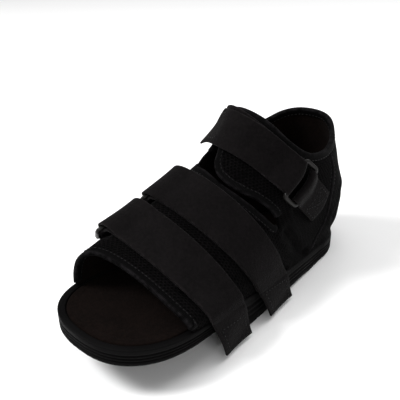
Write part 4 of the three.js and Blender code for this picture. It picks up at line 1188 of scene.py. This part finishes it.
class SHOE_OT_bindings(bpy.types.Operator):
    """Tape folded over each raw edge of the upper, with its row of stitches"""

    bl_idname = "shoe.bindings"
    bl_label = "Bindings"

    def execute(self, context):
        sizes = context.scene.shoe_sizes
        thread = bmesh.new()
        for name, (row, turn, inward) in edge_lines().items():
            centre = skin(row, turn, -WALL / 2)
            facing = skin_normal(row, turn)
            toward = np.cross(facing, along_line(centre)) * inward
            rings = np.stack([centre + toward * a + facing * b for a, b in BINDING_PROFILE], axis=1)
            nodes = [name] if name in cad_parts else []
            finish_piece(f"{name}_tape", cord(centre, rings), finish("binding_tape"), nodes)
            for side in (1, -1):
                line = centre + toward * 0.0033 + facing * side * 0.0022
                add_stitches(thread, line[2:-2], facing[2:-2] * side, sizes)
        finish_piece("binding_stitches", thread, finish("sewing_thread"))
        return {"FINISHED"}


class SHOE_OT_piping(bpy.types.Operator):
    """Raised cord sewn along each side of the heel counter"""

    bl_idname = "shoe.piping"
    bl_label = "Counter piping"

    def execute(self, context):
        sizes = context.scene.shoe_sizes
        thread = bmesh.new()
        for name, side in (("counter_piping_outer", 1), ("counter_piping_inner", -1)):
            row, turn = piping_line(side)
            centre = skin(row, turn, 0)
            facing = skin_normal(row, turn)
            across = np.cross(facing, along_line(centre))
            rings = np.stack([centre + PIPING_RADIUS * (across * math.cos(a) + facing * math.sin(a))
                              for a in np.linspace(0, 2 * np.pi, 15)[:-1]], axis=1)
            finish_piece(f"{name}_cord", cord(centre, rings), finish("piping_tape"), [name])
            for far in (-PIPING_SEAM, PIPING_SEAM):
                add_stitches(thread, centre[3:-3] + across[3:-3] * far + facing[3:-3] * 0.0002,
                             facing[3:-3], sizes)
        finish_piece("piping_stitches", thread, finish("sewing_thread"))
        return {"FINISHED"}


def loop_path(band, bar, reach, low, high):
    """Turns and heights of a band's middle as it goes round a ring's bar, from its low to its high layer."""
    girth = band_girth(band, bar)
    radius = (high - low) / 2
    middle = (high + low) / 2
    angles = np.linspace(-np.pi / 2, np.pi / 2, 17)
    return bar + reach * radius * np.cos(angles) / girth, middle + radius * np.sin(angles), girth


def strap_path(band, share, sizes):
    """Centre line of one strap at a share of its width: under layer, round the bar, top layer, free end."""
    half = sizes.strap_layer / 2
    reach = float(np.sign(band["bar"] - band["start"]))
    radius = BAR_THICK / 2 + FIT + half
    loop_turn, loop_out, girth = loop_path(band, band["bar"], reach, RING_STAND - radius, RING_STAND + radius)
    low, high = band["lie"] + half, band["lie"] + 3 * half + 0.00015
    near = band["bar"] - reach * STRAP_LOOP_RUN / girth
    start = rim_turn(band, share) if band["tail"] else band["start"]
    under_turn = np.concatenate([np.linspace(start, near, 60)[:-1], np.linspace(near, loop_turn[0], 16)[:-1]])
    rise = smooth(np.concatenate([np.zeros(59), np.linspace(0, 1, 16)[:-1]]))
    under_out = mix(low, loop_out[0], rise)
    top_end = start if band["tail"] else band["flap"] + 0.016
    top_turn = np.concatenate([np.linspace(loop_turn[-1], near, 16)[1:], np.linspace(near, top_end, 60)[1:]])
    drop = smooth(np.concatenate([np.linspace(0, 1, 16)[1:], np.ones(59)]))
    top_out = mix(loop_out[-1], high, drop)
    turn = np.concatenate([under_turn, loop_turn, top_turn])
    out = np.concatenate([under_out, loop_out, top_out])
    if band["tail"]:
        clear = 0.0016 * (1 - smooth(np.linspace(0, 1, 59) / 0.2))
        out[:59] += clear
        out[-59:] += clear[::-1]
    shares = np.full(turn.shape, share)
    if not band["tail"]:
        shares[-60:] -= FLAP_SKEW * smooth(np.linspace(0, 1, 60))
    return band_point(band, shares, turn, out)


def cloth_waves(points):
    """How far a strap's cloth lifts and sinks along itself."""
    x, y, z = np.moveaxis(points, -1, 0)
    return 0.00022 * np.sin(x * 150 + y * 60) * np.sin(z * 120 - y * 90 + 1.0)


def rim_turn(band, share):
    """The turn at which a band comes down to the rim on the outer side."""
    def over(turn):
        p = band_point(band, np.array(share), turn, band["lie"] + 0.002)
        return p[..., 2] - rim_height(p[..., 1]) - 0.002
    return float(solve(over, 0.2, 0.42))


class SHOE_OT_straps(bpy.types.Operator):
    """Three loop cloth straps, each round its ring and back over itself, with a hook patch at its free end"""

    bl_idname = "shoe.straps"
    bl_label = "Straps"

    def execute(self, context):
        sizes = context.scene.shoe_sizes
        half = sizes.strap_layer / 2
        patch_half = half * 0.55
        thread = bmesh.new()
        for name, band in BANDS.items():
            shares = np.linspace(-0.5, 0.5, 17)
            edge = half / band["width"]
            rows = []
            for share in shares * (1 - 2 * edge):
                line = strap_path(band, share, sizes)
                if band["tail"]:
                    down = np.array((TAIL_FLARE, 0, -1.0))
                    down -= band["normal"] * (down @ band["normal"])
                    down[1] -= band["lean"] + share * band["taper"]
                    down = unit(down)
                    length = (line[-1, 2] - TAIL_END) / -down[2]
                    steps = np.linspace(0, 1, 28)[1:, None]
                    flutter = 0.0008 * np.sin(steps * 4.6 + share * 2.6)
                    free = line[-1] + down * length * steps + np.array((1.0, 0, 0)) * flutter
                else:
                    along = unit(line[-1] - line[-2])
                    far = mix(FLAP_FRONT, FLAP_REAR, share + 0.5) * np.linspace(0, 1, 16)[1:, None]
                    free = line[-1] + along * far - np.array((0, 0, 1.0)) * far ** 2 / (2 * FLAP_BEND)
                rows.append(np.concatenate([line, free]))
            centres = np.array(rows)
            body = centres + facings(centres) * cloth_waves(centres)[..., None]
            made = ribbon(body, half, 0.00025)
            finish_piece(f"strap_{name}_webbing", made, finish("loop_webbing"), [f"strap_{name}"])
            outward = facings(body)[8, -3] @ np.array((1.0, 0, 0) if band["tail"] else (0, 0, 1.0))
            side = 1 if outward > 0 else -1
            start = share_at(body, -(sizes.patch_length if band["tail"] else sizes.flap_patch_length))
            steps = np.linspace(start, share_at(body, -0.0012), 40)
            across = np.linspace(0.08, 0.92, 11)
            under = body - facings(body) * side * (half + patch_half * 0.9)
            patch = np.array([on_sheet(under, np.full(steps.shape, a), steps) for a in across])
            finish_piece(f"strap_{name}_hook_patch", ribbon(patch, patch_half), finish("hook_tape"))
            ends = (start + (1 - start) * 0.06, start + (1 - start) * 0.93)
            box = seam_box(0.12, 0.88, ends)
            stitch_path(thread, body, box, side * (half + STITCH_LIFT), sizes)
            stitch_path(thread, body, box, -side * (half + 2 * patch_half), sizes)
            if not band["tail"]:
                root = (share_at(body, 0.003), share_at(body, 0.017))
                stitch_path(thread, body, seam_box(0.1, 0.9, root, True), -side * (half + STITCH_LIFT), sizes)
        finish_piece("strap_stitches", thread, finish("sewing_thread"))
        return {"FINISHED"}


class SHOE_OT_tabs(bpy.types.Operator):
    """Short folded tabs that hold the rings, sewn down in a box"""

    bl_idname = "shoe.tabs"
    bl_label = "Ring tabs"

    def execute(self, context):
        sizes = context.scene.shoe_sizes
        half = sizes.tab_layer / 2
        thread = bmesh.new()
        for name, band in BANDS.items():
            reach = float(np.sign(band["bar"] - band["start"]))
            second = band["bar"] + reach * RING_SPAN / band_girth(band, band["bar"])
            radius = BAR_THICK / 2 + FIT + half
            loop_turn, loop_out, girth = loop_path(band, second, -reach, RING_STAND - radius,
                                                   RING_STAND + radius)
            near = second + reach * TAB_LOOP_RUN / girth
            under_turn = np.concatenate([np.linspace(band["sewn"], near, 24)[:-1],
                                         np.linspace(near, loop_turn[0], 14)[:-1]])
            rise = smooth(np.concatenate([np.zeros(23), np.linspace(0, 1, 14)[:-1]]))
            low, high = FIT + half, FIT + 3 * half + 0.0001
            turn = np.concatenate([under_turn, loop_turn, under_turn[::-1]])
            out = np.concatenate([mix(low, loop_out[0], rise), loop_out,
                                  mix(high, loop_out[-1], rise[::-1])])
            shares = np.linspace(-0.47, 0.47, 13)
            centres = np.array([band_point(band, np.full(turn.shape, s), turn, out) for s in shares])
            made = ribbon(centres, half)
            finish_piece(f"tab_{name}_webbing", made, finish("loop_webbing"), [f"tab_{name}"])
            ends = [mix(band["sewn"], near, share) for share in TAB_SEAM]
            corners = seam_box(-0.4, 0.4, ends, True)
            for a, b in zip(corners[:-1], corners[1:]):
                steps = np.linspace(0, 1, 14)
                share, at = mix(a[0], b[0], steps), mix(a[1], b[1], steps)
                height = high + half + 0.00005
                line = band_point(band, share, at, np.full(at.shape, height))
                facing = skin_normal(band_row(band, share, at, np.full(at.shape, height)), at)
                add_stitches(thread, line, facing, sizes)
        finish_piece("tab_stitches", thread, finish("sewing_thread"))
        return {"FINISHED"}


def squared(value):
    """A sine or cosine pushed out towards a square with round corners."""
    return np.sign(value) * abs(value) ** (2 / RING_SQUARENESS)


class SHOE_OT_rings(bpy.types.Operator):
    """Moulded rectangular rings that the straps turn round"""

    bl_idname = "shoe.rings"
    bl_label = "Rings"

    def execute(self, context):
        for name, band in BANDS.items():
            reach = float(np.sign(band["bar"] - band["start"]))
            second = band["bar"] + reach * RING_SPAN / band_girth(band, band["bar"])
            turn = np.array([band["bar"], second, band["bar"], band["bar"]])
            share = np.array([0, 0, 0.5, -0.5])
            first, far, high, low = band_point(band, share, turn, RING_STAND)
            across = unit(high - low)
            along = far - first
            along -= across * (along @ across)
            span = float(np.linalg.norm(along))
            along = unit(along)
            half_x = band["width"] / 2 + RING_SLACK + BAR_WIDTH / 2
            half_y = span / 2
            path = []
            for sx, sy, start in ((1, 1, 0), (-1, 1, 1), (-1, -1, 2), (1, -1, 3)):
                for a in np.linspace(0, math.pi / 2, 7) + start * math.pi / 2:
                    path.append(((half_x - RING_CORNER) * sx + RING_CORNER * math.cos(a),
                                 (half_y - RING_CORNER) * sy + RING_CORNER * math.sin(a)))
            path = np.array(path)
            points = (first + far) / 2 + path[:, :1] * across + path[:, 1:] * along
            normal = np.cross(across, along)
            tangent = np.roll(points, -1, axis=0) - np.roll(points, 1, axis=0)
            side = np.cross(normal, tangent / np.linalg.norm(tangent, axis=1, keepdims=True))
            loop = np.concatenate([points, points[:1]])
            side = np.concatenate([side, side[:1]])
            angles = np.linspace(0, 2 * np.pi, 17)
            rings = np.stack([loop + side * BAR_WIDTH / 2 * squared(math.cos(a))
                              + normal * BAR_THICK / 2 * squared(math.sin(a)) for a in angles], axis=1)
            cloth = np.broadcast_arrays(angles[None, :] * 0.001, running_length(loop)[:, None])
            made = grid(rings, np.stack(cloth, axis=-1), wrap=True)
            finish_piece(f"ring_{name}_plastic", made, finish("ring_plastic"), [f"ring_{name}"])
        return {"FINISHED"}


class SHOE_OT_stage(bpy.types.Operator):
    """Pale floor, soft studio light and the camera"""

    bl_idname = "shoe.stage"
    bl_label = "Stage"

    def execute(self, context):
        made = bmesh.new()
        bmesh.ops.create_grid(made, x_segments=8, y_segments=8, size=6)
        mesh = bpy.data.meshes.new("studio_floor")
        made.to_mesh(mesh)
        made.free()
        mesh.materials.append(finish("studio_floor"))
        floor = bpy.data.objects.new("studio_floor", mesh)
        context.scene.collection.objects.link(floor)
        for name, place, size, power in LIGHTS:
            light = bpy.data.lights.new(name, "AREA")
            light.size = size
            light.energy = power
            lamp = bpy.data.objects.new(name, light)
            lamp.location = place
            lamp.rotation_euler = (Vector(LIGHT_AIM) - Vector(place)).to_track_quat("-Z", "Y").to_euler()
            context.scene.collection.objects.link(lamp)
        world = bpy.data.worlds.new("studio")
        world.use_nodes = True
        nodes = Nodes(world.node_tree)
        seen = nodes.add("ShaderNodeLightPath").outputs["Is Camera Ray"]
        background = world.node_tree.nodes["Background"]
        background.inputs["Color"].default_value = (1, 1, 1, 1)
        nodes.link(nodes.ramp(seen, 0, 1, WORLD_LIGHT, WORLD_SEEN), background.inputs["Strength"])
        context.scene.world = world
        context.scene.view_settings.view_transform = "Standard"
        context.scene.view_settings.gamma = 0.93
        azimuth, elevation, roll = (math.radians(angle) for angle in CAMERA_ANGLES)
        back = Vector((math.sin(azimuth) * math.cos(elevation), -math.cos(azimuth) * math.cos(elevation),
                       math.sin(elevation)))
        right = Vector((0, 0, 1)).cross(back).normalized()
        up = back.cross(right)
        turned = right * math.cos(roll) + up * math.sin(roll)
        up = -right * math.sin(roll) + up * math.cos(roll)
        data = bpy.data.cameras.new("camera")
        data.sensor_width = 36
        data.lens = CAMERA_LENS
        camera = bpy.data.objects.new("camera", data)
        turn = Matrix((turned, up, back)).transposed().to_4x4()
        camera.matrix_world = Matrix.Translation(CAMERA_PLACE) @ turn
        context.scene.collection.objects.link(camera)
        context.scene.camera = camera
        return {"FINISHED"}


class SHOE_PT_panel(bpy.types.Panel):
    """The shoe's pieces in the sidebar"""

    bl_label = "Post operative shoe"
    bl_idname = "SHOE_PT_panel"
    bl_space_type = "VIEW_3D"
    bl_region_type = "UI"
    bl_category = "Shoe"

    def draw(self, context):
        for piece in PIECES:
            self.layout.operator(piece.bl_idname)
        for group in (context.scene.shoe_sizes, context.scene.shoe_colours):
            for key in group.__annotations__:
                self.layout.prop(group, key)


PIECES = (SHOE_OT_stage, SHOE_OT_outsole, SHOE_OT_footbed, SHOE_OT_upper, SHOE_OT_bindings, SHOE_OT_piping,
          SHOE_OT_rings, SHOE_OT_tabs, SHOE_OT_straps)
CLASSES = (ShoeSizes, ShoeColours, *PIECES, SHOE_PT_panel)


def register():
    """Registers the classes and their settings."""
    for made in CLASSES:
        bpy.utils.register_class(made)
    bpy.types.Scene.shoe_sizes = bpy.props.PointerProperty(type=ShoeSizes)
    bpy.types.Scene.shoe_colours = bpy.props.PointerProperty(type=ShoeColours)


def unregister():
    """Takes the classes and their settings away again."""
    del bpy.types.Scene.shoe_sizes
    del bpy.types.Scene.shoe_colours
    for made in reversed(CLASSES):
        bpy.utils.unregister_class(made)


def main():
    """Builds the shoe."""
    register()
    for piece in PIECES:
        group, name = piece.bl_idname.split(".")
        getattr(getattr(bpy.ops, group), name)()


if __name__ == "__main__":
    main()
